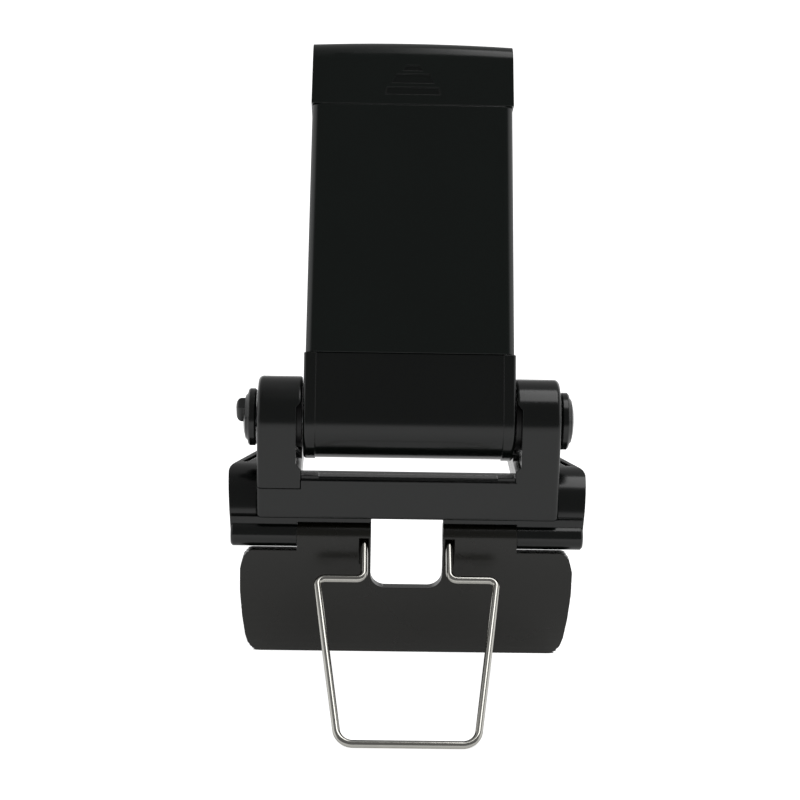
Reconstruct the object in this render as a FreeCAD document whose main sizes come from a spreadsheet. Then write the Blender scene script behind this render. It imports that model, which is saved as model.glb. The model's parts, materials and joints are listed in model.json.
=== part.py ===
import FreeCAD, Part
import math
import os

import Sketcher
from FreeCAD import Placement, Rotation, Vector

# Controller phone clip.
# A moulded saddle sits on the top of a game controller and a sprung rear plate grips its back.
# A fork on the saddle carries a tilting phone holder, whose upper jaw slides on two springs.
# A bent wire stand folds out behind the rear plate. Its ends are the pins of the plate's hinge.
#
# Frame: X runs across the clip, Y runs from its back towards its user, Z is up.
# The origin is on the front face of the saddle's rear wall, level with the pads' undersides.
# The phone holder is drawn upright about its own pivot and then leaned by its Placement.

doc = FreeCAD.newDocument("controller_phone_clip")
sheet = doc.addObject("Spreadsheet::Sheet", "Dims")


class Size:
    """A length or an angle: its number, and the expression that binds it to the sheet."""

    def __init__(self, value, text):
        self.value = value
        self.text = text

    def __add__(self, other):
        other = as_size(other)
        return Size(self.value + other.value, f"({self.text} + {other.text})")

    def __radd__(self, other):
        return as_size(other) + self

    def __sub__(self, other):
        other = as_size(other)
        return Size(self.value - other.value, f"({self.text} - {other.text})")

    def __rsub__(self, other):
        return as_size(other) - self

    def __mul__(self, other):
        other = as_size(other)
        return Size(self.value * other.value, f"({self.text} * {other.text})")

    def __rmul__(self, other):
        return as_size(other) * self

    def __truediv__(self, other):
        other = as_size(other)
        return Size(self.value / other.value, f"({self.text} / {other.text})")

    def __neg__(self):
        return Size(-self.value, f"(-1 * {self.text})")


def as_size(number):
    if isinstance(number, Size):
        return number
    return Size(float(number), f"({float(number):.6f})")


def sine(angle):
    angle = as_size(angle)
    return Size(math.sin(math.radians(angle.value)), f"sin({angle.text})")


def root(number):
    return Size(math.sqrt(number.value), f"sqrt({number.text})")


def cosine(angle):
    angle = as_size(angle)
    return Size(math.cos(math.radians(angle.value)), f"cos({angle.text})")


def tangent_of(angle):
    angle = as_size(angle)
    return Size(math.tan(math.radians(angle.value)), f"tan({angle.text})")


rows_used = 0


def dim(alias, value, meaning):
    """Write one driving dimension in the sheet and give it back as a Size."""
    global rows_used
    rows_used += 1
    sheet.set(f"A{rows_used}", meaning)
    sheet.set(f"B{rows_used}", str(value))
    sheet.setAlias(f"B{rows_used}", alias)
    return Size(float(value), f"Dims.{alias}")


# Saddle
saddle_width = dim("saddle_width", 72.2, "width of the saddle across its back")
saddle_depth = dim("saddle_depth", 25.0, "saddle from its rear wall to the front of its arms")
saddle_wall = dim("saddle_wall", 2.5, "thickness of the saddle's top")
rear_wall = dim("rear_wall", 3.0, "thickness of the saddle's rear wall")
saddle_round = dim("saddle_round", 8.2, "radius where the rear wall turns into the top")
side_draft = dim("side_draft", 0.8, "inward draft of each side at the hinge")
side_break = dim("side_break", 5.75, "distance from the rear wall to where the sides turn in")
side_turn = dim("side_turn", 24.0, "angle by which the sides turn in")
side_round = dim("side_round", 8.0, "radius in plan where the sides turn in")
inner_corner = dim("inner_corner", 3.0, "radius inside, where the rear wall meets the top")
arm_corner = dim("arm_corner", 4.0, "radius in plan of the arms' outer front corners")
arm_inner_corner = dim("arm_inner_corner", 2.5, "radius in plan of the arms' inner front corners")
seat_pad_thick = dim("seat_pad_thick", 1.0, "thickness of the rubber under the arms")
pad_margin = dim("pad_margin", 1.5, "distance of a pad from the edge of its carrier")
slot_length = dim("slot_length", 9.0, "length of the slot in each arm")
slot_wide = dim("slot_wide", 1.2, "width of the slot in each arm")
slot_start = dim("slot_start", 3.35, "distance of the slot from where the sides turn in")
slot_inset = dim("slot_inset", 1.1, "distance of the slot from the arm's outer edge")
ledge_step = dim("ledge_step", 1.1, "ledge under the fork, proud of the rear wall")

# Fork
fork_proud = dim("fork_proud", 2.5, "fork's rear face, proud of the rear wall")
crossbar_depth = dim("crossbar_depth", 3.7, "depth of the crossbar from its rear face")
crossbar_height = dim("crossbar_height", 8.0, "height of the crossbar")
crossbar_drop = dim("crossbar_drop", 0.4, "crossbar's top below the saddle's top")
crossbar_step = dim("crossbar_step", 0.8, "height of the small steps beside the ears")
crossbar_step_width = dim("crossbar_step_width", 3.5, "width of the small steps beside the ears")
step_back = dim("step_back", 0.8, "distance of the small steps from the crossbar's rear face")
bead_back = dim("bead_back", 1.0, "width of the flat rim behind the crossbar's bead")
bead_rise = dim("bead_rise", 0.5, "height of the bead along the crossbar's top")
bead_round = dim("bead_round", 0.4, "radius of the bead's edges")
ear_gap = dim("ear_gap", 42.6, "clear width between the ears")
ear_thick = dim("ear_thick", 8.8, "thickness of each ear")
ear_radius = dim("ear_radius", 8.3, "radius of the ears about the pivot")
ear_round = dim("ear_round", 1.0, "radius of the ears' outer edges")
ear_inner_round = dim("ear_inner_round", 0.5, "radius of the ears' inner edges")
ear_seam = dim("ear_seam", 1.75, "seam of the left ear below the crossbar's top")
seam_gap = dim("seam_gap", 0.1, "open joint between two mouldings")
pivot_rise = dim("pivot_rise", 18.75, "pivot above the crossbar's underside")
dish_depth = dim("dish_depth", 1.1, "depth of the dished recess inside each ear")
dish_radius = dim("dish_radius", 6.6, "radius of the full depth of the dish")
dish_rim = dim("dish_rim", 7.7, "radius where the dish runs out")
relief_low = dim("relief_low", 8.6, "foot of each ear's relief, below the pivot")
relief_high = dim("relief_high", 5.2, "head of each ear's relief, above the pivot")
relief_slope = dim("relief_slope", 1.2, "height over which the relief runs out")
fork_fit = dim("fork_fit", 0.15, "clearance of the fork in its notch")

# Pivot
bolt_radius = dim("bolt_radius", 2.0, "radius of the pivot bolt")
bolt_play = dim("bolt_play", 0.1, "radial clearance round the pivot bolt")
bolt_head_flats = dim("bolt_head_flats", 5.5, "hexagonal head of the bolt, across its flats")
bolt_head_thick = dim("bolt_head_thick", 1.0, "thickness of the bolt's head")
nut_flats = dim("nut_flats", 7.0, "pivot nut across its flats")
nut_thick = dim("nut_thick", 2.8, "thickness of the pivot nut")
nut_fit = dim("nut_fit", 0.05, "clearance of the nut in its pocket")
spring_washer_thick = dim("spring_washer_thick", 0.8, "thickness of the spring washer")
washer_play = dim("washer_play", 0.04, "clearance at each face of a friction washer")
knob_radius = dim("knob_radius", 5.75, "radius of the knob and of the end cap")
knob_disc = dim("knob_disc", 1.7, "thickness of the knob's disc")
knob_dome = dim("knob_dome", 0.9, "height of the dome on the knob")
knob_gap = dim("knob_gap", 0.3, "gap between the knob and its ear")
lever_width = dim("lever_width", 2.8, "width of the knob's grip rib")
lever_reach = dim("lever_reach", 3.9, "reach of the grip rib from the axis")
lever_proud = dim("lever_proud", 1.5, "height of the grip rib above the dome")
lever_round = dim("lever_round", 1.1, "radius of the grip rib's outer edges")
lever_turn = dim("lever_turn", 30.0, "turn of the grip rib from upright, towards the back")

# Hinge, rear plate and wire stand
hinge_drop = dim("hinge_drop", 3.85, "hinge below the crossbar's underside")
knuckle_radius = dim("knuckle_radius", 2.6, "radius of the hinge knuckles")
knuckle_gap = dim("knuckle_gap", 0.15, "side gap between two knuckles")
inner_knuckle_end = dim("inner_knuckle_end", 21.9, "outer end of the plate's knuckles")
plate_width = dim("plate_width", 67.2, "width of the rear plate at its top")
plate_foot_width = dim("plate_foot_width", 62.4, "width of the rear plate at its foot")
plate_length = dim("plate_length", 28.0, "length of the rear plate along its curve")
plate_curve = dim("plate_curve", 55.0, "radius of the rear plate's curve")
plate_thick = dim("plate_thick", 2.4, "thickness of the rear plate")
plate_top_corner = dim("plate_top_corner", 2.2, "radius of the rear plate's top corners")
plate_foot_corner = dim("plate_foot_corner", 3.0, "radius of the rear plate's foot corners")
port_width = dim("port_width", 14.4, "width of the window for the charging plug")
port_drop = dim("port_drop", 10.8, "foot of the window below the hinge")
port_corner = dim("port_corner", 3.0, "radius of the window's lower corners")
plate_pad_thick = dim("plate_pad_thick", 1.2, "thickness of the rubber on the rear plate")
plate_pad_inset = dim("plate_pad_inset", 1.0, "distance of the plate's rubber from its edges")
plate_shoulder = dim("plate_shoulder", 2.75, "plate's top edge below the hinge, beside its knuckles")
wire_radius = dim("wire_radius", 0.76, "radius of the stand's wire")
wire_bend = dim("wire_bend", 1.2, "radius of the wire's bends at the hinge")
neck_bend = dim("neck_bend", 2.0, "radius of the wire's bends at the neck and the shoulders")
foot_bend = dim("foot_bend", 4.0, "radius of the wire's bends at its foot")
wire_play = dim("wire_play", 0.08, "radial clearance of the wire in the knuckles")
wire_pin_end = dim("wire_pin_end", 29.0, "half width of the stand over the ends of its pins")
wire_neck = dim("wire_neck", 8.5, "half width of the stand's neck")
shoulder_reach = dim("shoulder_reach", 11.3, "distance of the stand's shoulders from the hinge")
shoulder_width = dim("shoulder_width", 34.2, "width of the stand at its shoulders")
stand_reach = dim("stand_reach", 47.2, "distance of the stand's foot from the hinge")
leg_slant = dim("leg_slant", 5.8, "slant of the stand's long legs")
stand_rest = dim("stand_rest", 52.0, "stand as drawn, from straight down towards the back")
stand_in = dim("stand_in", 30.0, "stand folded in, from straight down")
stand_out = dim("stand_out", 70.0, "stand swung out, from straight down")
leg_slot_play = dim("leg_slot_play", 0.12, "side clearance of the wire in its slot")
coil_radius = dim("coil_radius", 1.45, "mean radius of the hinge springs")
coil_wire = dim("coil_wire", 0.2, "wire radius of the hinge springs")
coil_play = dim("coil_play", 0.15, "clearance round a hinge spring")
coil_length = dim("coil_length", 3.0, "length of a hinge spring's coil")
coil_tail = dim("coil_tail", 1.6, "length of a hinge spring's straight tails")

# Phone holder
lean = dim("lean", 24.0, "lean of the holder towards the user")
barrel_radius = dim("barrel_radius", 8.2, "radius of the holder's barrel")
block_top = dim("block_top", 11.85, "top of the lower block above the pivot")
block_width = dim("block_width", 42.1, "width of the lower block")
front_face = dim("front_face", 3.2, "holder's front face ahead of the pivot")
strip_width = dim("strip_width", 2.4, "width of the raised strips at the block's sides")
strip_step = dim("strip_step", 0.25, "height of the raised strips")
sleeve_foot_width = dim("sleeve_foot_width", 41.6, "width of the sleeve at its foot")
sleeve_head_width = dim("sleeve_head_width", 40.6, "width of the sleeve at its top")
sleeve_length = dim("sleeve_length", 51.05, "length of the sleeve")
sleeve_wall = dim("sleeve_wall", 1.8, "wall of the sleeve")
sleeve_round = dim("sleeve_round", 2.0, "radius of the holder's long rear edges")
cover_thick = dim("cover_thick", 2.4, "thickness of the front cover")
joint_gap = dim("joint_gap", 0.1, "open joint between the holder's mouldings")
jaw_reach = dim("jaw_reach", 13.8, "reach of the jaws ahead of the front face")
jaw_thick = dim("jaw_thick", 3.0, "thickness of the lower jaw")
jaw_level = dim("jaw_level", 8.6, "underside of the lower jaw above the pivot")
jaw_width = dim("jaw_width", 40.0, "width of the lower jaw")
lip_thick = dim("lip_thick", 2.4, "thickness of the lip on each jaw")
lip_height = dim("lip_height", 4.9, "height of the lip on each jaw")
jaw_corner = dim("jaw_corner", 3.0, "corner radius of the jaws' lips")
jaw_pad_thick = dim("jaw_pad_thick", 1.2, "thickness of the rubber in each jaw")
front_pad_thick = dim("front_pad_thick", 1.3, "thickness of the rubber on the front cover")
front_pad_inset = dim("front_pad_inset", 0.6, "depth of the front rubber's recess")
front_pad_width = dim("front_pad_width", 29.2, "width of the front rubber")
front_pad_length = dim("front_pad_length", 38.0, "length of the front rubber")
front_pad_foot = dim("front_pad_foot", 21.0, "foot of the front rubber above the pivot")
tenon_width = dim("tenon_width", 16.0, "width of the block's tenon in the sleeve")
tenon_height = dim("tenon_height", 7.4, "height of the block's tenon")
cap_height = dim("cap_height", 13.9, "height of the jaw's cap")
cap_width = dim("cap_width", 41.0, "width of the jaw's cap at its foot")
cap_head_width = dim("cap_head_width", 40.6, "width of the jaw's cap at its top")
cap_arch = dim("cap_arch", 0.5, "rise of the cap's arched top")
cap_round = dim("cap_round", 4.0, "radius of the cap's rear top edge")
cap_arm_thick = dim("cap_arm_thick", 5.5, "thickness of the upper jaw's arm")
symbol_depth = dim("symbol_depth", 0.45, "depth of the engraved pull symbol")

# Slide and return springs
tongue_width = dim("tongue_width", 18.0, "width of the sliding tongue")
tongue_thick = dim("tongue_thick", 3.2, "thickness of the sliding tongue")
slide_play = dim("slide_play", 0.2, "clearance of the tongue in the sleeve")
tongue_foot = dim("tongue_foot", 21.6, "foot of the tongue above the pivot")
tongue_in_cap = dim("tongue_in_cap", 8.8, "length of the tongue inside the cap")
slide_travel = dim("slide_travel", 27.0, "travel of the upper jaw")
stop_gap = dim("stop_gap", 0.4, "gap left between the lugs and the stop at full travel")
lug_height = dim("lug_height", 3.0, "height of the spring lugs")
lug_thick = dim("lug_thick", 1.5, "thickness of the spring lugs")
post_radius = dim("post_radius", 0.9, "radius of the spring posts")
post_level = dim("post_level", 15.6, "level of the fixed spring posts")
spring_offset = dim("spring_offset", 13.0, "distance of each return spring from the middle")
spring_depth = dim("spring_depth", -2.9, "return springs ahead of the pivot")
spring_radius = dim("spring_radius", 1.9, "mean radius of the return springs")
spring_wire = dim("spring_wire", 0.28, "wire radius of the return springs")
eye_radius = dim("eye_radius", 1.3, "mean radius of a return spring's eyes")
stop_rib = dim("stop_rib", 1.4, "height of the stop at the sleeve's mouth")

# Screws
screw_radius = dim("screw_radius", 0.9, "radius of the small screws")
thread_play = dim("thread_play", 0.03, "radial clearance of a small screw in its thread")
screw_head = dim("screw_head", 1.7, "head radius of the small screws")
screw_head_thick = dim("screw_head_thick", 1.1, "head thickness of the small screws")
boss_radius = dim("boss_radius", 1.6, "radius of the screw bosses in the sleeve")
boss_offset = dim("boss_offset", 17.1, "distance of the cover's screws from the middle")
boss_margin = dim("boss_margin", 7.0, "distance of the cover's screws from the sleeve's ends")
yoke_screw_length = dim("yoke_screw_length", 7.0, "length of the fork's screws in its ears")

doc.recompute()

# Levels and depths that follow from the driving dimensions
saddle_top = seat_pad_thick + saddle_wall
crossbar_top = saddle_top - crossbar_drop
ledge_level = crossbar_top - crossbar_height
hinge_z = ledge_level - hinge_drop
pivot_z = ledge_level + pivot_rise
wall_front = as_size(0)
wall_back = -rear_wall
arm_front = saddle_depth - rear_wall
fork_back = wall_back - fork_proud
notch_floor = fork_back + crossbar_depth
pivot_y = fork_back + ear_radius
hinge_y = fork_back + knuckle_radius
ear_in = ear_gap / 2
ear_out = ear_in + ear_thick
half_saddle = saddle_width / 2
half_block = block_width / 2
sleeve_foot = block_top + joint_gap
sleeve_head = sleeve_foot + sleeve_length
cap_foot = sleeve_head + joint_gap
cap_top = cap_foot + cap_height
holder_back = -barrel_radius
sleeve_front = front_face - cover_thick
cavity_back = holder_back + sleeve_wall
cavity_half = sleeve_head_width / 2 - sleeve_wall
tongue_back = cavity_back + slide_play
stop_level = sleeve_head - stop_rib
lug_level = stop_level - stop_gap - slide_travel - lug_height / 2
jaw_tip = front_face + jaw_reach
jaw_top = jaw_level + jaw_thick
cap_arm_under = cap_top - cap_arm_thick
screw_spread = ear_in + ear_thick / 2
bead_top = crossbar_top + bead_rise
break_y = wall_back + side_break

PLANE_OF = {"XY": "XY_Plane", "XZ": "XZ_Plane", "YZ": "YZ_Plane"}
SIDES = (-1, 1)
HINGE_TURNS = 4
RETURN_TURNS = 6
ZERO = as_size(0)


def bind(target, prop, size):
    target.setExpression(prop, as_size(size).text)


def new_body(label):
    body = doc.addObject("PartDesign::Body", label)
    body.Label = label
    return body


def origin_plane(body, plane):
    for feature in body.Origin.OriginFeatures:
        if feature.Role == PLANE_OF[plane]:
            return feature
    raise ValueError(f"no plane {plane}")


def arc_geometry(start, end, radius):
    """An arc from start to end: a positive radius turns left along the way, a negative one right."""
    chord = end - start
    middle = (start + end) * 0.5
    reach = math.sqrt(max(radius * radius - chord.Length * chord.Length / 4, 0.0))
    left = Vector(-chord.y, chord.x, 0).normalize()
    centre = middle + left * (reach if radius > 0 else -reach)
    first, last = (start, end) if radius > 0 else (end, start)
    from_angle = math.atan2(first.y - centre.y, first.x - centre.x)
    to_angle = math.atan2(last.y - centre.y, last.x - centre.x)
    circle = Part.Circle(centre, Vector(0, 0, 1), abs(radius))
    return Part.ArcOfCircle(circle, from_angle, to_angle)


def sketch_on(body, name, plane, corners, level, closed=True):
    """An outline or an open path. A corner is (x, y), or (x, y, radius) when an arc leads on."""
    sketch = body.newObject("Sketcher::SketchObject", name)
    sketch.AttachmentSupport = [(origin_plane(body, plane), "")]
    sketch.MapMode = "FlatFace"
    bind(sketch, "AttachmentOffset.Base.z", level)
    corners = [tuple(as_size(part) for part in corner) for corner in corners]
    points = [Vector(corner[0].value, corner[1].value, 0) for corner in corners]
    count = len(corners)
    legs = corners if closed else corners[:-1]
    starts = []
    for index, corner in enumerate(legs):
        start, end = points[index], points[(index + 1) % count]
        if len(corner) == 3:
            sketch.addGeometry(arc_geometry(start, end, corner[2].value), False)
            starts.append(1 if corner[2].value > 0 else 2)
        else:
            sketch.addGeometry(Part.LineSegment(start, end), False)
            starts.append(1)
    for index, corner in enumerate(legs):
        after = (index + 1) % count
        if after < len(legs):
            link = Sketcher.Constraint("Coincident", index, 3 - starts[index], after, starts[after])
            sketch.addConstraint(link)
        if len(corner) == 3:
            key = sketch.addConstraint(Sketcher.Constraint("Radius", index, abs(corner[2].value)))
            size = corner[2] if corner[2].value > 0 else -corner[2]
            sketch.setExpression(f"Constraints[{key}]", size.text)
    for index, corner in enumerate(corners):
        leg = min(index, len(legs) - 1)
        end = starts[leg] if index == leg else 3 - starts[leg]
        for kind, size in (("DistanceX", corner[0]), ("DistanceY", corner[1])):
            rule = Sketcher.Constraint(kind, -1, 1, leg, end, size.value)
            key = sketch.addConstraint(rule)
            sketch.setExpression(f"Constraints[{key}]", size.text)
    return sketch


def settle(feature):
    """Bring the drawing up to date and stop at once if the feature failed."""
    doc.recompute()
    if "Invalid" in feature.State or "Error" in feature.State or feature.Shape.isNull():
        raise RuntimeError(f"{feature.Label}: {feature.State} {feature.getStatusString()}")
    return feature


def prism(body, name, plane, corners, low, high, remove=False):
    """Pad an outline, or pocket it, between two levels along the plane's third axis."""
    low, high = as_size(low), as_size(high)
    level = -high if plane == "XZ" else low
    sketch = sketch_on(body, f"{name}_sketch", plane, corners, level)
    kind = "PartDesign::Pocket" if remove else "PartDesign::Pad"
    feature = body.newObject(kind, name)
    feature.Profile = sketch
    feature.Type = "Length"
    feature.Reversed = remove
    bind(feature, "Length", high - low)
    return settle(feature)


def block(body, name, x, y, z, remove=False):
    """A box between two positions along each axis."""
    kind = "PartDesign::SubtractiveBox" if remove else "PartDesign::AdditiveBox"
    feature = body.newObject(kind, name)
    for prop, axis, (low, high) in zip(("Length", "Width", "Height"), "xyz", (x, y, z)):
        bind(feature, prop, as_size(high) - as_size(low))
        bind(feature, f"Placement.Base.{axis}", low)
    return settle(feature)


TURN_TO = {
    "x": Rotation(Vector(0, 1, 0), 90),
    "y": Rotation(Vector(1, 0, 0), -90),
    "z": Rotation(),
}


def rod(body, name, axis, radius, low, high, across, remove=False):
    """A cylinder along an axis, between two positions on it. across gives its other two places."""
    kind = "PartDesign::SubtractiveCylinder" if remove else "PartDesign::AdditiveCylinder"
    feature = body.newObject(kind, name)
    feature.Placement = Placement(Vector(), TURN_TO[axis])
    bind(feature, "Radius", radius)
    bind(feature, "Height", as_size(high) - as_size(low))
    places = list(across)
    places.insert("xyz".index(axis), low)
    for letter, place in zip("xyz", places):
        bind(feature, f"Placement.Base.{letter}", place)
    return settle(feature)


def turned(body, name, corners, x, y, z, remove=False):
    """Revolve an outline, given as (place along X, radius), about an axis parallel to X."""
    sketch = sketch_on(body, f"{name}_sketch", "XZ", corners, -as_size(y))
    bind(sketch, "AttachmentOffset.Base.x", x)
    bind(sketch, "AttachmentOffset.Base.y", z)
    kind = "PartDesign::Groove" if remove else "PartDesign::Revolution"
    feature = body.newObject(kind, name)
    feature.Profile = sketch
    feature.ReferenceAxis = (sketch, ["H_Axis"])
    feature.Angle = 360
    return settle(feature)


def edges_at(shape, points):
    """The names of the edges that pass through the given points."""
    names = []
    for point in points:
        vertex = Part.Vertex(Vector(*(as_size(part).value for part in point)))
        gaps = [vertex.distToShape(edge)[0] for edge in shape.Edges]
        name = f"Edge{gaps.index(min(gaps)) + 1}"
        if min(gaps) > 0.05:
            raise ValueError(f"no edge at {point[0]} {vertex.Point}")
        if name not in names:
            names.append(name)
    return names


def dress(body, kind, name, size, points):
    base = body.Tip
    feature = body.newObject(kind, name)
    feature.Base = (base, edges_at(base.Shape, points))
    bind(feature, "Radius" if kind.endswith("Fillet") else "Size", size)
    return settle(feature)


def round_edges(body, name, radius, points):
    return dress(body, "PartDesign::Fillet", name, radius, points)


def bevel_edges(body, name, size, points):
    return dress(body, "PartDesign::Chamfer", name, size, points)


def hexagon(flats, y, z):
    """The corners of a hexagon with two flats level, about a point."""
    corner = as_size(flats) / math.sqrt(3)
    return [(y + corner * cosine(60 * k), z + corner * sine(60 * k)) for k in range(6)]


def lean_back(item):
    """Move a piece of the holder from its own frame to its place on the fork."""
    item.Placement = Placement(Vector(), Rotation(Vector(1, 0, 0), -1))
    bind(item, "Placement.Rotation.Angle", -lean)
    bind(item, "Placement.Base.y", pivot_y)
    bind(item, "Placement.Base.z", pivot_z)
    return item


def cylinder(name, axis, radius, low, high, across):
    """A cylinder of its own along an axis, for pieces that are joined outside a body."""
    piece = doc.addObject("Part::Cylinder", name)
    piece.Placement = Placement(Vector(), TURN_TO[axis])
    bind(piece, "Radius", radius)
    bind(piece, "Height", as_size(high) - as_size(low))
    places = list(across)
    places.insert("xyz".index(axis), low)
    for letter, place in zip("xyz", places):
        bind(piece, f"Placement.Base.{letter}", place)
    return piece


def joined(label, items):
    """Several overlapping solids fused into one piece."""
    fuse = doc.addObject("Part::MultiFuse", label)
    fuse.Label = label
    fuse.Shapes = items
    return fuse


def side_half(y):
    """Half width of the saddle ahead of where its sides turn in."""
    return half_saddle - (y - break_y) * tangent_of(side_turn)


# Saddle: a shell over the controller's top edge, with an arm each side and the outer knuckles
def make_saddle():
    body = new_body("saddle")
    section = [
        (wall_back, hinge_z),
        (wall_back, saddle_top),
        (arm_front, saddle_top),
        (arm_front, seat_pad_thick),
        (wall_front, seat_pad_thick),
        (wall_front, hinge_z),
    ]
    prism(body, "shell", "YZ", section, -half_saddle, half_saddle)
    round_edges(body, "top_round", saddle_round, [(0, wall_back, saddle_top)])
    round_edges(body, "inner_round", inner_corner, [(0, wall_front, seat_pad_thick)])
    for side in SIDES:
        tag = "left" if side < 0 else "right"
        run = side_round * tangent_of(side_turn / 2)
        slope = [
            (side * half_saddle, break_y - run),
            (side * (half_saddle + 1), break_y - run),
            (side * (half_saddle + 1), arm_front + 1),
            (side * side_half(arm_front + 1), arm_front + 1),
            (side * (half_saddle - run * sine(side_turn)), break_y + run * cosine(side_turn),
             -side * side_round),
        ]
        prism(body, f"{tag}_slope", "XY", slope, seat_pad_thick - 1, saddle_top + 1, remove=True)
        draft = [
            (side * half_saddle, saddle_top),
            (side * (half_saddle + 1), saddle_top),
            (side * (half_saddle + 1), hinge_z - 1),
            (side * (half_saddle - side_draft), hinge_z - 1),
        ]
        prism(body, f"{tag}_draft", "XZ", draft, wall_back - 1, arm_front + 1, remove=True)
    block(body, "open_middle", (-ear_in, ear_in), (wall_front, arm_front + 1),
          (seat_pad_thick - saddle_round, saddle_top + 1), remove=True)
    for name, half, radius in (
        ("outer_corners", side_half(arm_front), arm_corner),
        ("inner_corners", ear_in, arm_inner_corner),
    ):
        places = [(side * half, arm_front, saddle_top - saddle_wall / 2) for side in SIDES]
        round_edges(body, name, radius, places)
    carrier_back = wall_back - ledge_step
    carrier_half = half_saddle - side_draft
    block(body, "hinge_carrier", (-carrier_half, carrier_half), (carrier_back, wall_front),
          (hinge_z, ledge_level))
    block(body, "plate_room", (-inner_knuckle_end - knuckle_gap, inner_knuckle_end + knuckle_gap),
          (fork_back - 1, wall_front + 1),
          (hinge_z - 1, hinge_z + knuckle_radius + knuckle_gap), remove=True)
    block(body, "port_notch", (-port_width / 2, port_width / 2), (fork_back - 1, wall_front + 1),
          (hinge_z - 1, ledge_level), remove=True)
    notch_half = ear_out + fork_fit
    block(body, "fork_notch", (-notch_half, notch_half), (fork_back - 1, notch_floor),
          (ledge_level, saddle_top + 1), remove=True)
    block(body, "low_middle", (-ear_in, ear_in), (fork_back - 1, wall_front + 1),
          (bead_top, saddle_top + 1), remove=True)
    block(body, "wall_bead", (-ear_in, ear_in), (notch_floor, wall_front), (ledge_level, bead_top))
    for side in SIDES:
        tag = "left" if side < 0 else "right"
        low, high = (ear_in, notch_half) if side > 0 else (-notch_half, -ear_in)
        block(body, f"{tag}_ear_seat", (low, high), (notch_floor, wall_back + saddle_round),
              (seat_pad_thick, saddle_top))
        near, far = inner_knuckle_end + knuckle_gap, carrier_half
        low, high = (near, far) if side > 0 else (-far, -near)
        rod(body, f"{tag}_knuckle", "x", knuckle_radius, low, high, (hinge_y, hinge_z))
        bore = wire_pin_end + knuckle_gap
        low, high = (near - 1, bore) if side > 0 else (-bore, 1 - near)
        rod(body, f"{tag}_pin_bore", "x", wire_radius + wire_play, low, high,
            (hinge_y, hinge_z), remove=True)
        room = near + coil_length + coil_play + coil_wire
        low, high = (near - 1, room) if side > 0 else (-room, 1 - near)
        rod(body, f"{tag}_spring_room", "x", coil_radius + coil_wire + coil_play, low, high,
            (hinge_y, hinge_z), remove=True)
        tail_end = room + coil_tail
        low, high = (room - 1, tail_end) if side > 0 else (-tail_end, 1 - room)
        rod(body, f"{tag}_tail_hole", "x", coil_wire + 0.06, low, high,
            (hinge_y, hinge_z + coil_radius), remove=True)
        make_arm_slot(body, side, tag)
        for row, y in enumerate(fork_screw_rows()):
            rod(body, f"{tag}_screw_hole_{row}", "z", screw_radius + 0.1, seat_pad_thick - 1,
                saddle_top + 1, (side * screw_spread, y), remove=True)
            rod(body, f"{tag}_screw_seat_{row}", "z", screw_head + 0.2, seat_pad_thick - 1,
                seat_pad_thick + screw_head_thick + 0.1, (side * screw_spread, y), remove=True)
    ends = [(side * carrier_half, hinge_y, hinge_z - knuckle_radius) for side in SIDES]
    bevel_edges(body, "knuckle_ends", 0.4, ends)
    return body


def fork_screw_rows():
    return (wall_front + 3.5, fork_back + 2 * ear_radius - 2.5)


def make_arm_slot(body, side, tag):
    """A narrow slot that follows the slope of the arm's outer edge."""
    start_y = break_y + slot_start
    end_y = start_y + slot_length
    start_x = side_half(start_y) - slot_inset
    end_x = side_half(end_y) - slot_inset
    corners = [
        (side * start_x, start_y),
        (side * end_x, end_y),
        (side * (end_x - slot_wide), end_y),
        (side * (start_x - slot_wide), start_y),
    ]
    prism(body, f"{tag}_arm_slot", "XY", corners, seat_pad_thick - 1, saddle_top + 1, remove=True)


# Fork: the crossbar with its right ear in one piece, and the left ear as a piece of its own
def ear_outline(foot):
    front = fork_back + 2 * ear_radius
    return [
        (fork_back, foot),
        (notch_floor, foot),
        (notch_floor, saddle_top),
        (front, saddle_top),
        (front, pivot_z, ear_radius),
        (pivot_y, pivot_z + ear_radius, ear_radius),
        (fork_back, pivot_z),
    ]


def finish_ear(body, side):
    """Dish, bore, screw holes and rounded outer edges, which both ears share."""
    inner, outer = (ear_in, ear_out) if side > 0 else (-ear_in, -ear_out)
    deep = side * (ear_in + dish_depth)
    for name, face, radius in (
        ("outer_edge", outer, ear_round),
        ("inner_edge", inner, ear_inner_round),
    ):
        edge = [
            (face, fork_back, pivot_z - ear_radius / 2),
            (face, pivot_y, pivot_z + ear_radius),
            (face, fork_back + 2 * ear_radius, pivot_z - ear_radius / 2),
        ]
        round_edges(body, name, radius, edge)
    relief = [
        (inner - side * 1, pivot_z - relief_low),
        (inner, pivot_z - relief_low),
        (deep, pivot_z - relief_low + relief_slope),
        (deep, pivot_z + relief_high - relief_slope),
        (inner, pivot_z + relief_high),
        (inner - side * 1, pivot_z + relief_high),
    ]
    prism(body, "relief", "XZ", relief, fork_back - 1, pivot_y, remove=True)
    dish = [
        (inner - side * 1, ZERO),
        (deep, ZERO),
        (deep, dish_radius),
        (inner, dish_rim),
        (inner - side * 1, dish_rim),
    ]
    turned(body, "dish", dish, ZERO, pivot_y, pivot_z, remove=True)
    low, high = (ear_in, ear_out + 1) if side > 0 else (-ear_out - 1, -ear_in)
    rod(body, "bolt_bore", "x", bolt_radius + bolt_play, low, high, (pivot_y, pivot_z), remove=True)
    for row, y in enumerate(fork_screw_rows()):
        rod(body, f"screw_pilot_{row}", "z", screw_radius + thread_play, saddle_top - 1,
            saddle_top + yoke_screw_length, (side * screw_spread, y), remove=True)


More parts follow.
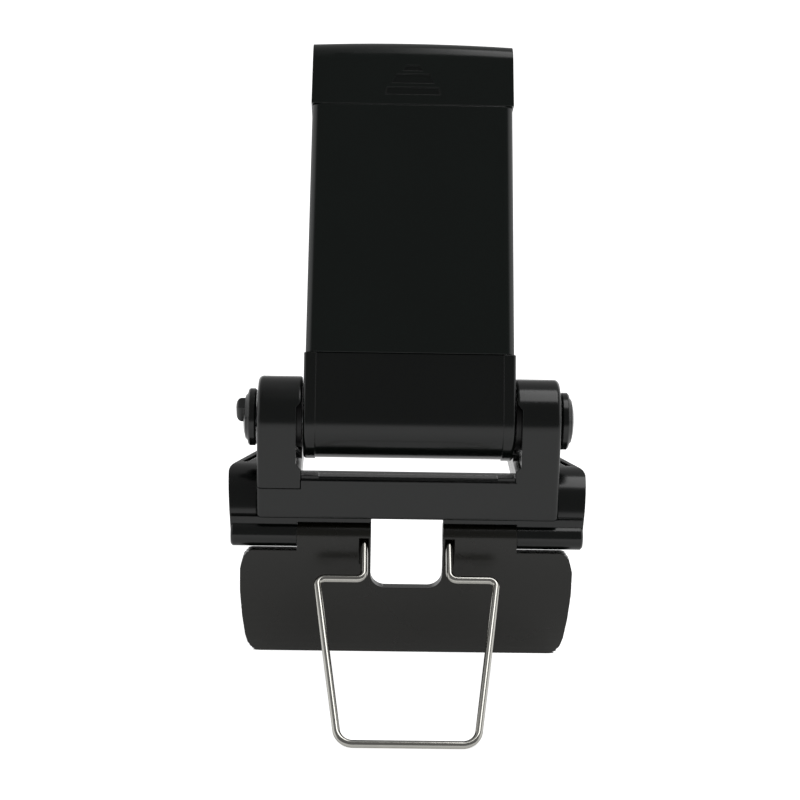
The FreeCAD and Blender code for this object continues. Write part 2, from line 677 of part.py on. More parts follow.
def make_yoke():
    body = new_body("yoke")
    block(body, "crossbar", (-ear_in, ear_in), (fork_back, notch_floor),
          (ledge_level, crossbar_top))
    bead_rear = fork_back + bead_back
    block(body, "bead", (-ear_in, ear_in), (bead_rear, notch_floor), (crossbar_top, bead_top))
    round_edges(body, "bead_edge", bead_round, [(0, bead_rear, bead_top)])
    prism(body, "right_ear", "YZ", ear_outline(ledge_level), ear_in, ear_out)
    seam = crossbar_top - ear_seam
    block(body, "left_root", (-ear_out, -ear_in), (fork_back, notch_floor), (ledge_level, seam))
    for side in SIDES:
        tag = "left" if side < 0 else "right"
        near, far = ear_in - crossbar_step_width, ear_in
        if side < 0:
            near, far = -far, -near
        block(body, f"{tag}_step", (near, far), (fork_back + step_back, notch_floor),
              (crossbar_top, crossbar_top + crossbar_step))
    finish_ear(body, 1)
    pocket_floor = ear_out - nut_thick - 0.4
    corners = hexagon(nut_flats + 2 * nut_fit, pivot_y, pivot_z)
    prism(body, "nut_pocket", "YZ", corners, pocket_floor, ear_out + 1, remove=True)
    rod(body, "washer_seat", "x", nut_flats / 2, pocket_floor - spring_washer_thick, pocket_floor,
        (pivot_y, pivot_z), remove=True)
    round_edges(body, "root_edge", ear_round, [(-ear_out, fork_back, ledge_level + 1)])
    round_edges(body, "bottom_edge", 0.7, [(0, fork_back, ledge_level)])
    return body


def make_left_ear():
    body = new_body("left_ear")
    foot = crossbar_top - ear_seam + seam_gap
    prism(body, "ear", "YZ", ear_outline(foot), -ear_out, -ear_in)
    finish_ear(body, -1)
    return body


# Fasteners: small screws with a cross in the head
def small_screw(name, head_face, axis, sign, length, across):
    """One screw. head_face is where its head starts, sign is the way its shank points."""
    pieces = []
    parts = (
        ("head", screw_head, ZERO, screw_head_thick),
        ("shank", screw_radius, screw_head_thick, screw_head_thick + length),
    )
    for part_name, radius, start, stop in parts:
        piece = doc.addObject("Part::Cylinder", f"{name}_{part_name}")
        piece.Placement = Placement(Vector(), TURN_TO[axis])
        bind(piece, "Radius", radius)
        bind(piece, "Height", as_size(stop) - as_size(start))
        low = head_face + start if sign > 0 else head_face - stop
        places = list(across)
        places.insert("xyz".index(axis), low)
        for letter, place in zip("xyz", places):
            bind(piece, f"Placement.Base.{letter}", place)
        pieces.append(piece)
    screw = doc.addObject("Part::MultiFuse", name)
    screw.Shapes = pieces
    cross = []
    for turn, (wide, high) in enumerate(((0.4, 2.0), (2.0, 0.4))):
        bar = doc.addObject("Part::Box", f"{name}_bar_{turn}")
        spans = [wide, high]
        spans.insert("xyz".index(axis), 0.6)
        centre = list(across)
        centre.insert("xyz".index(axis), head_face + sign * 0.1)
        for prop, letter, span, middle in zip(("Length", "Width", "Height"), "xyz", spans, centre):
            bind(bar, prop, span)
            bind(bar, f"Placement.Base.{letter}", as_size(middle) - span / 2)
        cross.append(bar)
    recess = doc.addObject("Part::MultiFuse", f"{name}_cross")
    recess.Shapes = cross
    cut = doc.addObject("Part::Cut", f"{name}_cut")
    cut.Base = screw
    cut.Tool = recess
    return cut


def group(label, items):
    """Several like solids in one node."""
    compound = doc.addObject("Part::Compound", label)
    compound.Label = label
    compound.Links = items
    return compound


def make_yoke_screws():
    screws = []
    for side in SIDES:
        for row, y in enumerate(fork_screw_rows()):
            tag = f"yoke_screw_{'left' if side < 0 else 'right'}_{row}"
            length = saddle_wall - screw_head_thick + yoke_screw_length - 1.0
            screws.append(small_screw(tag, seat_pad_thick + 0.1, "z", 1, length,
                                      (side * screw_spread, y)))
    return group("yoke_screws", screws)


# Rubber under the arms
def make_seat_pad(side):
    label = "seat_pad_left" if side < 0 else "seat_pad_right"
    body = new_body(label)
    inner = ear_in + pad_margin
    back = wall_front + inner_corner
    front = arm_front - pad_margin
    corners = [
        (side * inner, back),
        (side * (side_half(back) - pad_margin), back),
        (side * (side_half(front) - pad_margin), front),
        (side * inner, front),
    ]
    prism(body, "pad", "XY", corners, 0, seat_pad_thick)
    for name, across, radius in (
        ("outer_corner", side_half(front) - pad_margin, arm_corner - pad_margin),
        ("inner_corner", inner, arm_inner_corner - pad_margin),
    ):
        round_edges(body, name, radius, [(side * across, front, seat_pad_thick / 2)])
    return body


# Pivot: bolt with its knob on the left, nut, spring washer and end cap on the right
def ring(label, outer, inner, low, high):
    """A flat ring about the pivot."""
    pieces = []
    for name, radius in (("disc", outer), ("hole", inner)):
        piece = doc.addObject("Part::Cylinder", f"{label}_{name}")
        piece.Placement = Placement(Vector(), TURN_TO["x"])
        bind(piece, "Radius", radius)
        bind(piece, "Height", as_size(high) - as_size(low))
        for letter, place in zip("xyz", (low, pivot_y, pivot_z)):
            bind(piece, f"Placement.Base.{letter}", place)
        pieces.append(piece)
    cut = doc.addObject("Part::Cut", label)
    cut.Label = label
    cut.Base, cut.Tool = pieces
    return cut


def make_friction_washer(side):
    label = "friction_washer_left" if side < 0 else "friction_washer_right"
    near = ear_in + washer_play
    far = ear_in + dish_depth - washer_play
    low, high = (near, far) if side > 0 else (-far, -near)
    return ring(label, dish_radius - 0.6, bolt_radius + bolt_play, low, high)


def make_spring_washer():
    floor = ear_out - nut_thick - 0.4
    return ring("spring_washer", nut_flats / 2 - 0.1, bolt_radius + bolt_play,
                floor - spring_washer_thick, floor)


def make_pivot_nut():
    body = new_body("pivot_nut")
    floor = ear_out - nut_thick - 0.4
    prism(body, "hexagon", "YZ", hexagon(nut_flats, pivot_y, pivot_z), floor, floor + nut_thick)
    rod(body, "bore", "x", bolt_radius + nut_fit, floor - 1, floor + nut_thick + 1,
        (pivot_y, pivot_z), remove=True)
    return body


def knob_outline(side, centre_hole):
    """Half section of a disc with a dome, as (place along X, radius)."""
    inner = side * (ear_out + knob_gap)
    outer = side * (ear_out + knob_gap + knob_disc)
    crown = side * (ear_out + knob_gap + knob_disc + knob_dome)
    edge = 0.35
    return [
        (inner, centre_hole),
        (inner, knob_radius - edge),
        (inner + side * edge, knob_radius),
        (outer - side * edge, knob_radius),
        (outer, knob_radius - edge),
        (outer, knob_radius - 0.9),
        (outer + side * 0.6 * knob_dome, knob_radius - 1.4),
        (crown, knob_radius - 2.8),
        (crown, centre_hole),
    ]


def make_thumb_knob():
    body = new_body("thumb_knob")
    turned(body, "disc", knob_outline(-1, ZERO), ZERO, pivot_y, pivot_z)
    crown = -(ear_out + knob_gap + knob_disc + knob_dome)
    rib = body.newObject("PartDesign::AdditiveBox", "grip_rib")
    rib.Placement = Placement(Vector(), Rotation(Vector(1, 0, 0), 1))
    bind(rib, "Length", lever_proud + knob_dome)
    bind(rib, "Width", lever_width)
    bind(rib, "Height", lever_reach)
    bind(rib, "Placement.Rotation.Angle", lever_turn)
    bind(rib, "Placement.Base.x", crown - lever_proud)
    back = lever_width / 2
    bind(rib, "Placement.Base.y", pivot_y - back * cosine(lever_turn))
    bind(rib, "Placement.Base.z", pivot_z - back * sine(lever_turn))
    doc.recompute()
    tip = crown - lever_proud
    reach_y = pivot_y - lever_reach * sine(lever_turn)
    reach_z = pivot_z + lever_reach * cosine(lever_turn)
    ends = [(tip, reach_y, reach_z), (tip, pivot_y, pivot_z)]
    half_reach = lever_reach / 2
    for way in SIDES:
        ends.append((
            tip,
            pivot_y - half_reach * sine(lever_turn) + way * back * cosine(lever_turn),
            pivot_z + half_reach * cosine(lever_turn) + way * back * sine(lever_turn),
        ))
    round_edges(body, "rib_round", lever_round, ends)
    inner = -(ear_out + knob_gap)
    seat = -(ear_out + knob_gap + bolt_head_thick)
    prism(body, "head_pocket", "YZ", hexagon(bolt_head_flats, pivot_y, pivot_z), seat, inner + 1,
          remove=True)
    return body


def make_pivot_bolt():
    body = new_body("pivot_bolt")
    inner = -(ear_out + knob_gap)
    prism(body, "head", "YZ", hexagon(bolt_head_flats, pivot_y, pivot_z), inner - bolt_head_thick,
          inner)
    rod(body, "shank", "x", bolt_radius, inner, ear_out - 0.6, (pivot_y, pivot_z))
    bevel_edges(body, "tip", 0.4, [(ear_out - 0.6, pivot_y, pivot_z + bolt_radius)])
    return body


def make_end_cap():
    body = new_body("end_cap")
    turned(body, "disc", knob_outline(1, ZERO), ZERO, pivot_y, pivot_z)
    rod(body, "plug", "x", nut_flats / 2 - 0.1, ear_out - 0.35, ear_out + knob_gap + 0.1,
        (pivot_y, pivot_z))
    return body


# Rear plate: a curved flap on the hinge, with a window for the charging plug
def make_rear_plate():
    body = new_body("rear_plate")
    sweep = plate_sweep()
    centre = hinge_y - knuckle_radius + plate_curve
    inner = plate_curve - plate_thick
    section = [
        (hinge_y - knuckle_radius, hinge_z, plate_curve),
        (centre - plate_curve * cosine(sweep), hinge_z - plate_curve * sine(sweep)),
        (centre - inner * cosine(sweep), hinge_z - inner * sine(sweep), -inner),
        (hinge_y - knuckle_radius + plate_thick, hinge_z),
    ]
    half_plate, half_foot = plate_width / 2, plate_foot_width / 2
    wide = half_plate + half_foot
    prism(body, "sheet", "YZ", section, -wide, wide)
    foot = hinge_z - plate_curve * sine(sweep)
    for side in SIDES:
        tag = "left" if side < 0 else "right"
        edge = [
            (side * half_plate, hinge_z + 1),
            (side * (wide + 1), hinge_z + 1),
            (side * (wide + 1), foot - 1),
            (side * half_foot, foot - 1),
            (side * half_foot, foot),
            (side * half_plate, hinge_z - knuckle_radius),
        ]
        prism(body, f"{tag}_edge", "XZ", edge, fork_back - 1, centre, remove=True)
        near, far = inner_knuckle_end, wide + 1
        low, high = (near, far) if side > 0 else (-far, -near)
        block(body, f"{tag}_shoulder", (low, high), (fork_back - 1, centre),
              (hinge_z - plate_shoulder, hinge_z + 1), remove=True)
    block(body, "port", (-port_width / 2, port_width / 2), (fork_back - 1, centre),
          (hinge_z - port_drop, hinge_z + knuckle_radius + 1), remove=True)
    round_plate_corners(body, centre)
    for side in SIDES:
        tag = "left" if side < 0 else "right"
        near, far = port_width / 2, inner_knuckle_end
        low, high = (near, far) if side > 0 else (-far, -near)
        rod(body, f"{tag}_knuckle", "x", knuckle_radius, low, high, (hinge_y, hinge_z))
    for side in SIDES:
        tag = "left" if side < 0 else "right"
        near = wire_neck - wire_radius - leg_slot_play
        far = inner_knuckle_end + 1
        low, high = (near, far) if side > 0 else (-far, -near)
        rod(body, f"{tag}_bore", "x", wire_radius + wire_play, low, high, (hinge_y, hinge_z),
            remove=True)
        slot_far = wire_neck + wire_bend - leg_slot_play
        low, high = (near, slot_far) if side > 0 else (-slot_far, -near)
        prism(body, f"{tag}_leg_slot", "YZ", leg_sector(), low, high, remove=True)
        hole = inner_knuckle_end - coil_tail - coil_play
        low, high = (hole, far) if side > 0 else (-far, -hole)
        rod(body, f"{tag}_tail_hole", "x", coil_wire + 0.06, low, high,
            (hinge_y, hinge_z + coil_radius), remove=True)
    return body


def leg_sector():
    """The space that the stand's neck sweeps through in a knuckle, as seen along the hinge."""
    half_slot = wire_radius + wire_play
    reach = 8
    low_y = hinge_y + half_slot * cosine(stand_in)
    low_z = hinge_z - half_slot * sine(stand_in)
    high_y = hinge_y - half_slot * cosine(stand_out)
    high_z = hinge_z + half_slot * sine(stand_out)
    return [
        (low_y, low_z),
        (low_y - reach * sine(stand_in), low_z - reach * cosine(stand_in)),
        (high_y - reach * sine(stand_out), high_z - reach * cosine(stand_out)),
        (high_y, high_z),
    ]


def round_plate_corners(body, centre):
    """Round the outline's four corners and the window's lower two."""
    middle = plate_curve - plate_thick / 2
    foot_drop = middle * sine(plate_sweep())
    for name, drop, half, radius in (
        ("top_corners", plate_shoulder, plate_half(plate_shoulder), plate_top_corner),
        ("foot_corners", foot_drop, plate_half(foot_drop), plate_foot_corner),
        ("port_corners", port_drop, port_width / 2, port_corner),
    ):
        y = centre - root(middle * middle - drop * drop)
        places = [(side * half, y, hinge_z - drop) for side in SIDES]
        round_edges(body, name, radius, places)


def plate_sweep():
    """Angle of the rear plate's curve."""
    return plate_length / plate_curve * (180 / math.pi)


def plate_foot_drop():
    return plate_curve * sine(plate_sweep())


def plate_half(drop):
    """Half width of the rear plate at a depth below the hinge."""
    share = (drop - knuckle_radius) / (plate_foot_drop() - knuckle_radius)
    return plate_width / 2 - (plate_width - plate_foot_width) / 2 * share


def make_rear_plate_pad():
    body = new_body("rear_plate_pad")
    start = (plate_shoulder + plate_pad_inset) / plate_curve * (180 / math.pi)
    stop = (plate_length - 2 * plate_pad_inset) / plate_curve * (180 / math.pi)
    centre = hinge_y - knuckle_radius + plate_curve
    outer = plate_curve - plate_thick
    inner = outer - plate_pad_thick
    section = [
        (centre - outer * cosine(start), hinge_z - outer * sine(start), outer),
        (centre - outer * cosine(stop), hinge_z - outer * sine(stop)),
        (centre - inner * cosine(stop), hinge_z - inner * sine(stop), -inner),
        (centre - inner * cosine(start), hinge_z - inner * sine(start)),
    ]
    half = plate_foot_width / 2 - 2 * plate_pad_inset
    prism(body, "pad", "YZ", section, -half, half)
    half_notch = port_width / 2 + plate_pad_inset
    block(body, "notch", (-half_notch, half_notch), (fork_back, centre),
          (hinge_z - port_drop - plate_pad_inset, hinge_z), remove=True)
    return body


# Wire stand: one bent wire, from pin to pin, drawn hanging from the hinge
def bent_path():
    """The right half of the wire, from its pin's end to the middle of its foot."""
    slant = leg_slant
    foot_x = shoulder_width / 2 - (stand_reach - shoulder_reach) * tangent_of(slant)
    shoulder_run = neck_bend * tangent_of((slant + 90) / 2)
    foot_run = foot_bend * tangent_of((90 - slant) / 2)
    return [
        (wire_pin_end, ZERO),
        (wire_neck + wire_bend, ZERO, wire_bend),
        (wire_neck, -wire_bend),
        (wire_neck, neck_bend - shoulder_reach, neck_bend),
        (wire_neck + neck_bend, -shoulder_reach),
        (shoulder_width / 2 - shoulder_run, -shoulder_reach, -neck_bend),
        (shoulder_width / 2 - shoulder_run * sine(slant),
         -shoulder_reach - shoulder_run * cosine(slant)),
        (foot_x + foot_run * sine(slant), foot_run * cosine(slant) - stand_reach, -foot_bend),
        (foot_x - foot_run, -stand_reach),
    ]


def mirrored_path(half):
    """The whole way: the half, and its mirror image walked back."""
    back = []
    for index in range(len(half) - 1, -1, -1):
        x, z = half[index][:2]
        arc_before = index > 0 and len(half[index - 1]) == 3
        if arc_before:
            back.append((-x, z, half[index - 1][2]))
        else:
            back.append((-x, z))
    return half + back


def round_profile(body, name, plane, radius, across, level):
    """A circle on a plane of the body."""
    sketch = body.newObject("Sketcher::SketchObject", name)
    sketch.AttachmentSupport = [(origin_plane(body, plane), "")]
    sketch.MapMode = "FlatFace"
    bind(sketch, "AttachmentOffset.Base.z", level)
    centre = Vector(across[0].value, across[1].value, 0)
    sketch.addGeometry(Part.Circle(centre, Vector(0, 0, 1), radius.value), False)
    rules = (
        (Sketcher.Constraint("Radius", 0, radius.value), radius),
        (Sketcher.Constraint("DistanceX", -1, 1, 0, 3, across[0].value), across[0]),
        (Sketcher.Constraint("DistanceY", -1, 1, 0, 3, across[1].value), across[1]),
    )
    for rule, size in rules:
        key = sketch.addConstraint(rule)
        sketch.setExpression(f"Constraints[{key}]", size.text)
    return sketch


def make_wire_stand():
    body = new_body("wire_stand")
    path = sketch_on(body, "path", "XZ", mirrored_path(bent_path()), ZERO, closed=False)
    section = round_profile(body, "section", "YZ", wire_radius, (ZERO, ZERO), wire_pin_end)
    pipe = body.newObject("PartDesign::AdditivePipe", "wire")
    pipe.Profile = section
    pipe.Spine = path
    settle(pipe)
    ends = [(side * wire_pin_end, ZERO, wire_radius) for side in SIDES]
    bevel_edges(body, "pin_ends", 0.2, ends)
    body.Placement = Placement(Vector(), Rotation(Vector(1, 0, 0), -1))
    bind(body, "Placement.Rotation.Angle", -stand_rest)
    bind(body, "Placement.Base.y", hinge_y)
    bind(body, "Placement.Base.z", hinge_z)
    return body


# Springs
def half_turns(name, axis, radius, wire, start, length, turns, across, quarter):
    """The half rings of a coil about an axis, each tilted so that the next one goes on smoothly."""
    rise = length / (2 * turns)
    ring_radius = root(radius * radius + rise * rise / 4)
    tilt = math.degrees(math.atan2(rise.value / 2, radius.value))
    rings = []
    for index in range(2 * turns):
        way = -1 if index % 2 else 1
        opposite = Rotation(Vector(0, 0, 1), 90 - 90 * way)
        tilted = Rotation(Vector(0, 0, 1), quarter) * Rotation(Vector(0, 1, 0), way * tilt) * opposite
        half_ring = doc.addObject("Part::Torus", f"{name}_{index}")
        half_ring.Placement = Placement(Vector(), TURN_TO[axis] * tilted)
        half_ring.Angle3 = 180
        bind(half_ring, "Radius1", ring_radius)
        bind(half_ring, "Radius2", wire)
        places = list(across)
        places.insert("xyz".index(axis), start + rise * (index + 0.5))
        for letter, place in zip("xyz", places):
            bind(half_ring, f"Placement.Base.{letter}", place)
        rings.append(half_ring)
    return rings


def make_flap_spring(side):
    """A small torsion spring round the hinge pin, with a straight tail in each moulding."""
    label = "flap_spring_left" if side < 0 else "flap_spring_right"
    near = inner_knuckle_end + knuckle_gap + coil_play + coil_wire
    length = coil_length - 2 * coil_wire
    start = near if side > 0 else -near - length
    parts = half_turns(f"{label}_turn", "x", coil_radius, coil_wire, start, length, HINGE_TURNS,
                       (hinge_y, hinge_z), 180)
    far = near + length
    for name, inner, outer in (
        ("plate_tail", inner_knuckle_end - coil_tail, near),
        ("saddle_tail", far, far + coil_tail),
    ):
        low, high = (inner, outer) if side > 0 else (-outer, -inner)
        parts.append(cylinder(f"{label}_{name}", "x", coil_wire, low, high,
                              (hinge_y, hinge_z + coil_radius)))
    return joined(label, parts)


def make_return_spring(side):
    """An extension spring with an eye at each end, in the holder's own frame."""
    label = "return_spring_left" if side < 0 else "return_spring_right"
    x = side * spring_offset
    reach = eye_radius + 3 * spring_wire
    low, high = post_level + reach, lug_level - reach
    parts = half_turns(f"{label}_turn", "z", spring_radius, spring_wire, low, high - low,
                       RETURN_TURNS, (x, spring_depth), 0)
    for name, level, end, way in (("foot", post_level, low, 1), ("head", lug_level, high, -1)):
        parts.append(cylinder(f"{label}_{name}_bridge", "x", spring_wire, x - spring_wire,
                              x + spring_radius, (spring_depth, end)))
        crown = level + way * eye_radius
        span = (crown, end) if way > 0 else (end, crown)
        parts.append(cylinder(f"{label}_{name}_stem", "z", spring_wire, span[0], span[1],
                              (x, spring_depth)))
        eye = doc.addObject("Part::Torus", f"{label}_{name}_eye")
        eye.Placement = Placement(Vector(), TURN_TO["y"])
        bind(eye, "Radius1", eye_radius)
        bind(eye, "Radius2", spring_wire)
        for letter, place in zip("xyz", (x, spring_depth, level)):
            bind(eye, f"Placement.Base.{letter}", place)
        parts.append(eye)
    return lean_back(joined(label, parts))


# Phone holder, drawn upright about its pivot
def barrel_outline(radius):
    """Side view of the lower block: a barrel round the pivot that runs up into a block."""
    return [
        (front_face, block_top),
        (-radius, block_top),
        (-radius, ZERO, radius),
        (ZERO, -radius, radius),
        (radius, ZERO, radius),
        (front_face, root(radius * radius - front_face * front_face)),
    ]


def make_lower_block():
    body = new_body("lower_block")
    strip_in = half_block - strip_width
    prism(body, "core", "YZ", barrel_outline(barrel_radius - strip_step), -half_block, half_block)
    prism(body, "right_strip", "YZ", barrel_outline(barrel_radius), strip_in, half_block)
    prism(body, "left_strip", "YZ", barrel_outline(barrel_radius), -half_block, -strip_in)
    back_edges = [(side * half_block, -barrel_radius, block_top / 2) for side in SIDES]
    round_edges(body, "back_edges", 0.8, back_edges)
    half_jaw = jaw_width / 2
    block(body, "jaw", (-half_jaw, half_jaw), (front_face - 1, jaw_tip), (jaw_level, jaw_top))
    block(body, "lip", (-half_jaw, half_jaw), (jaw_tip - lip_thick, jaw_tip),
          (jaw_level, jaw_top + lip_height))
    lip_mid = jaw_tip - lip_thick / 2
    corners = [(side * half_jaw, lip_mid, jaw_top + lip_height) for side in SIDES]
    round_edges(body, "lip_corners", jaw_corner, corners)
    round_edges(body, "jaw_nose", 1.4, [(0, jaw_tip, jaw_level)])
    half_tenon = tenon_width / 2
    block(body, "tenon", (-half_tenon, half_tenon), (cavity_back + slide_play, sleeve_front),
          (block_top - 1, block_top + tenon_height))
    rod(body, "bolt_bore", "x", bolt_radius + bolt_play, -half_block - 1, half_block + 1, (0, 0),
        remove=True)
    for side in SIDES:
        rod(body, f"block_screw_pilot_{side + 1}", "y", screw_radius + thread_play, sleeve_front - 5,
            sleeve_front + 1, (side * tenon_width / 4, block_screw_level()), remove=True)
    return lean_back(body)


def block_screw_level():
    return block_top + tenon_height / 2


def sleeve_half(level):
    """Half width of the tapered sleeve at a level."""
    share = (level - sleeve_foot) / sleeve_length
    return sleeve_foot_width / 2 - (sleeve_foot_width - sleeve_head_width) / 2 * share


def sleeve_outline():
    half_foot, half_head = sleeve_foot_width / 2, sleeve_head_width / 2
    return [
        (-half_foot, sleeve_foot),
        (half_foot, sleeve_foot),
        (half_head, sleeve_head),
        (-half_head, sleeve_head),
    ]


def cover_screw_places():
    levels = (sleeve_foot + boss_margin, sleeve_head - boss_margin)
    return [(side * boss_offset, level) for side in SIDES for level in levels]


def make_rear_sleeve():
    body = new_body("rear_sleeve")
    prism(body, "channel", "XZ", sleeve_outline(), holder_back, sleeve_front)
    mid = (sleeve_foot + sleeve_head) / 2
    edges = [(side * sleeve_half(mid), holder_back, mid) for side in SIDES]
    round_edges(body, "long_edges", sleeve_round, edges)
    block(body, "cavity", (-cavity_half, cavity_half), (cavity_back, sleeve_front + 1),
          (sleeve_foot - 1, stop_level), remove=True)
    half_mouth = tongue_width / 2 + slide_play
    block(body, "mouth", (-half_mouth, half_mouth),
          (cavity_back, tongue_back + tongue_thick + slide_play),
          (stop_level - 1, sleeve_head + 1), remove=True)
    for index, (x, z) in enumerate(cover_screw_places()):
        rod(body, f"boss_{index}", "y", boss_radius, cavity_back - 0.5, sleeve_front, (x, z))
        rod(body, f"boss_bore_{index}", "y", screw_radius + thread_play, cavity_back,
            sleeve_front + 1, (x, z), remove=True)
    for side in SIDES:
        rod(body, f"spring_post_{side + 1}", "y", post_radius, cavity_back - 0.5,
            spring_depth + 1.4, (side * spring_offset, post_level))
    return lean_back(body)


def make_front_cover():
    body = new_body("front_cover")
    prism(body, "plate", "XZ", sleeve_outline(), sleeve_front, front_face)
    mid = (sleeve_foot + sleeve_head) / 2
    edges = [(side * sleeve_half(mid), front_face, mid) for side in SIDES]
    round_edges(body, "long_edges", 1.4, edges)
    half_pad = front_pad_width / 2 + 0.1
    block(body, "pad_recess", (-half_pad, half_pad), (front_face - front_pad_inset, front_face + 1),
          (front_pad_foot - 0.1, front_pad_foot + front_pad_length + 0.1), remove=True)
    places = cover_screw_places()
    places += [(side * tenon_width / 4, block_screw_level()) for side in SIDES]
    for index, (x, z) in enumerate(places):
        rod(body, f"screw_hole_{index}", "y", screw_radius + 0.1, sleeve_front - 1, front_face + 1,
            (x, z), remove=True)
        rod(body, f"screw_seat_{index}", "y", screw_head + 0.15, front_face - screw_head_thick - 0.1,
            front_face + 1, (x, z), remove=True)
    return lean_back(body)


def make_front_pad():
    body = new_body("front_pad")
    half = front_pad_width / 2
    low = front_face - front_pad_inset
    block(body, "pad", (-half, half), (low, low + front_pad_thick),
          (front_pad_foot, front_pad_foot + front_pad_length))
    middle = low + front_pad_thick / 2
    corners = [
        (side * half, middle, level)
        for side in SIDES for level in (front_pad_foot, front_pad_foot + front_pad_length)
    ]
    round_edges(body, "corners", 2.0, corners)
    return lean_back(body)


def make_jaw_pad(label, low, high):
    body = new_body(label)
    half = jaw_width / 2 - pad_margin
    block(body, "pad", (-half, half), (front_face + 0.3, jaw_tip - lip_thick - 0.3), (low, high))
    return lean_back(body)


def make_cover_screws():
    head = front_face - 0.05
    screws = []
    for index, (x, z) in enumerate(cover_screw_places()):
        screws.append(small_screw(f"cover_screw_{index}", head, "y", -1, 5.0, (x, z)))
    return lean_back(group("cover_screws", screws))


def make_block_screws():
    head = front_face - 0.05
    screws = []
    for side in SIDES:
        place = (side * tenon_width / 4, block_screw_level())
        screws.append(small_screw(f"block_screw_{side + 1}", head, "y", -1, 5.0, place))
    return lean_back(group("block_screws", screws))


# Upper jaw: cap, tongue and rubber
def make_jaw_cap():
    body = new_body("jaw_cap")
    half_foot, half_head = cap_width / 2, cap_head_width / 2
    shoulder = cap_top - cap_arch
    radius = (half_head * half_head + cap_arch * cap_arch) / (2 * cap_arch)
    outline = [
        (-half_foot, cap_foot),
        (half_foot, cap_foot),
        (half_head, shoulder, radius),
        (-half_head, shoulder),
    ]
    prism(body, "cap", "XZ", outline, holder_back, jaw_tip)
    round_edges(body, "rear_top", cap_round, [(0, holder_back, cap_top)])
    round_edges(body, "front_top", 1.6, [(0, jaw_tip, cap_top)])
    block(body, "under_arm", (-half_foot - 1, half_foot + 1), (front_face, jaw_tip - lip_thick),
          (cap_foot - 1, cap_arm_under), remove=True)
    block(body, "under_lip", (-half_foot - 1, half_foot + 1), (front_face, jaw_tip + 1),
          (cap_foot - 1, cap_arm_under - lip_height), remove=True)
    half_slot = tongue_width / 2 + seam_gap
    block(body, "tongue_slot", (-half_slot, half_slot),
          (tongue_back - seam_gap, tongue_back + tongue_thick + seam_gap),
          (cap_foot - 1, cap_foot + tongue_in_cap), remove=True)
    level = jaw_screw_level()
    for side in SIDES:
        place = (side * tongue_width / 4, level)
        rod(body, f"screw_hole_{side + 1}", "y", screw_radius + 0.1, tongue_back, front_face + 1,
            place, remove=True)
        rod(body, f"screw_seat_{side + 1}", "y", screw_head + 0.15,
            front_face - screw_head_thick - 0.1, front_face + 1, place, remove=True)
    lip_mid = jaw_tip - lip_thick / 2
    lip_level = cap_arm_under - lip_height
    wide = half_foot - (half_foot - half_head) * (lip_level - cap_foot) / (shoulder - cap_foot)
    corners = [(side * wide, lip_mid, lip_level) for side in SIDES]
    round_edges(body, "lip_corners", jaw_corner, corners)
    engrave_symbol(body)
    return lean_back(body)


def jaw_screw_level():
    return cap_foot + tongue_in_cap / 2


def engrave_symbol(body):
    """Three stacked bars, narrowing upwards: the usual sign for pulling up."""
    bars = (
        ("base", 2.1, 3.6, 5.6, 5.2),
        ("middle", 4.5, 6.4, 4.3, 3.3),
        ("tip", 7.1, 8.2, 2.0, 1.2),
    )
    for name, low, high, half_low, half_high in bars:
        corners = [
            (-half_low, cap_foot + low),
            (half_low, cap_foot + low),
            (half_high, cap_foot + high),
            (-half_high, cap_foot + high),
        ]
        prism(body, f"symbol_{name}", "XZ", corners, holder_back - 1, holder_back + symbol_depth,
              remove=True)


def make_slide_tongue():
    body = new_body("slide_tongue")
    half = tongue_width / 2
    block(body, "tongue", (-half, half), (tongue_back, tongue_back + tongue_thick),
          (tongue_foot, cap_foot + tongue_in_cap - seam_gap))
    half_lug = spring_offset + post_radius + 0.8
    block(body, "lugs", (-half_lug, half_lug), (tongue_back, tongue_back + lug_thick),
          (lug_level - lug_height / 2, lug_level + lug_height / 2))
    for side in SIDES:
        rod(body, f"post_{side + 1}", "y", post_radius, tongue_back, spring_depth + 1.4,
            (side * spring_offset, lug_level))
        rod(body, f"screw_pilot_{side + 1}", "y", screw_radius + thread_play, tongue_back + 0.6,
            tongue_back + tongue_thick + 1, (side * tongue_width / 4, jaw_screw_level()),
            remove=True)
    ends = [
        (side * half, tongue_back + tongue_thick / 2, tongue_foot) for side in SIDES
    ]
    round_edges(body, "foot_corners", 2.0, ends)
    return lean_back(body)


def make_jaw_screws():
    head = front_face - 0.05
    length = front_face - screw_head_thick - tongue_back - 0.9
    screws = []
    for side in SIDES:
        place = (side * tongue_width / 4, jaw_screw_level())
        screws.append(small_screw(f"jaw_screw_{side + 1}", head, "y", -1, length, place))
    return lean_back(group("jaw_screws", screws))


pieces = [
    make_saddle(),
    make_yoke(),
    make_left_ear(),
    make_yoke_screws(),
    make_seat_pad(-1),
    make_seat_pad(1),
    make_friction_washer(-1),
    make_friction_washer(1),
    make_spring_washer(),
    make_pivot_nut(),
    make_end_cap(),
    make_thumb_knob(),
    make_pivot_bolt(),
    make_rear_plate(),
    make_rear_plate_pad(),
    make_wire_stand(),
    make_flap_spring(-1),
    make_flap_spring(1),
    make_lower_block(),
    make_jaw_pad("lower_jaw_pad", jaw_top, jaw_top + jaw_pad_thick),
    make_rear_sleeve(),
    make_front_cover(),
    make_front_pad(),
    make_cover_screws(),
    make_block_screws(),
    make_return_spring(-1),
    make_return_spring(1),
    make_jaw_cap(),
    make_slide_tongue(),
    make_jaw_pad("upper_jaw_pad", cap_arm_under - jaw_pad_thick, cap_arm_under),
    make_jaw_screws(),
]

doc.recompute()

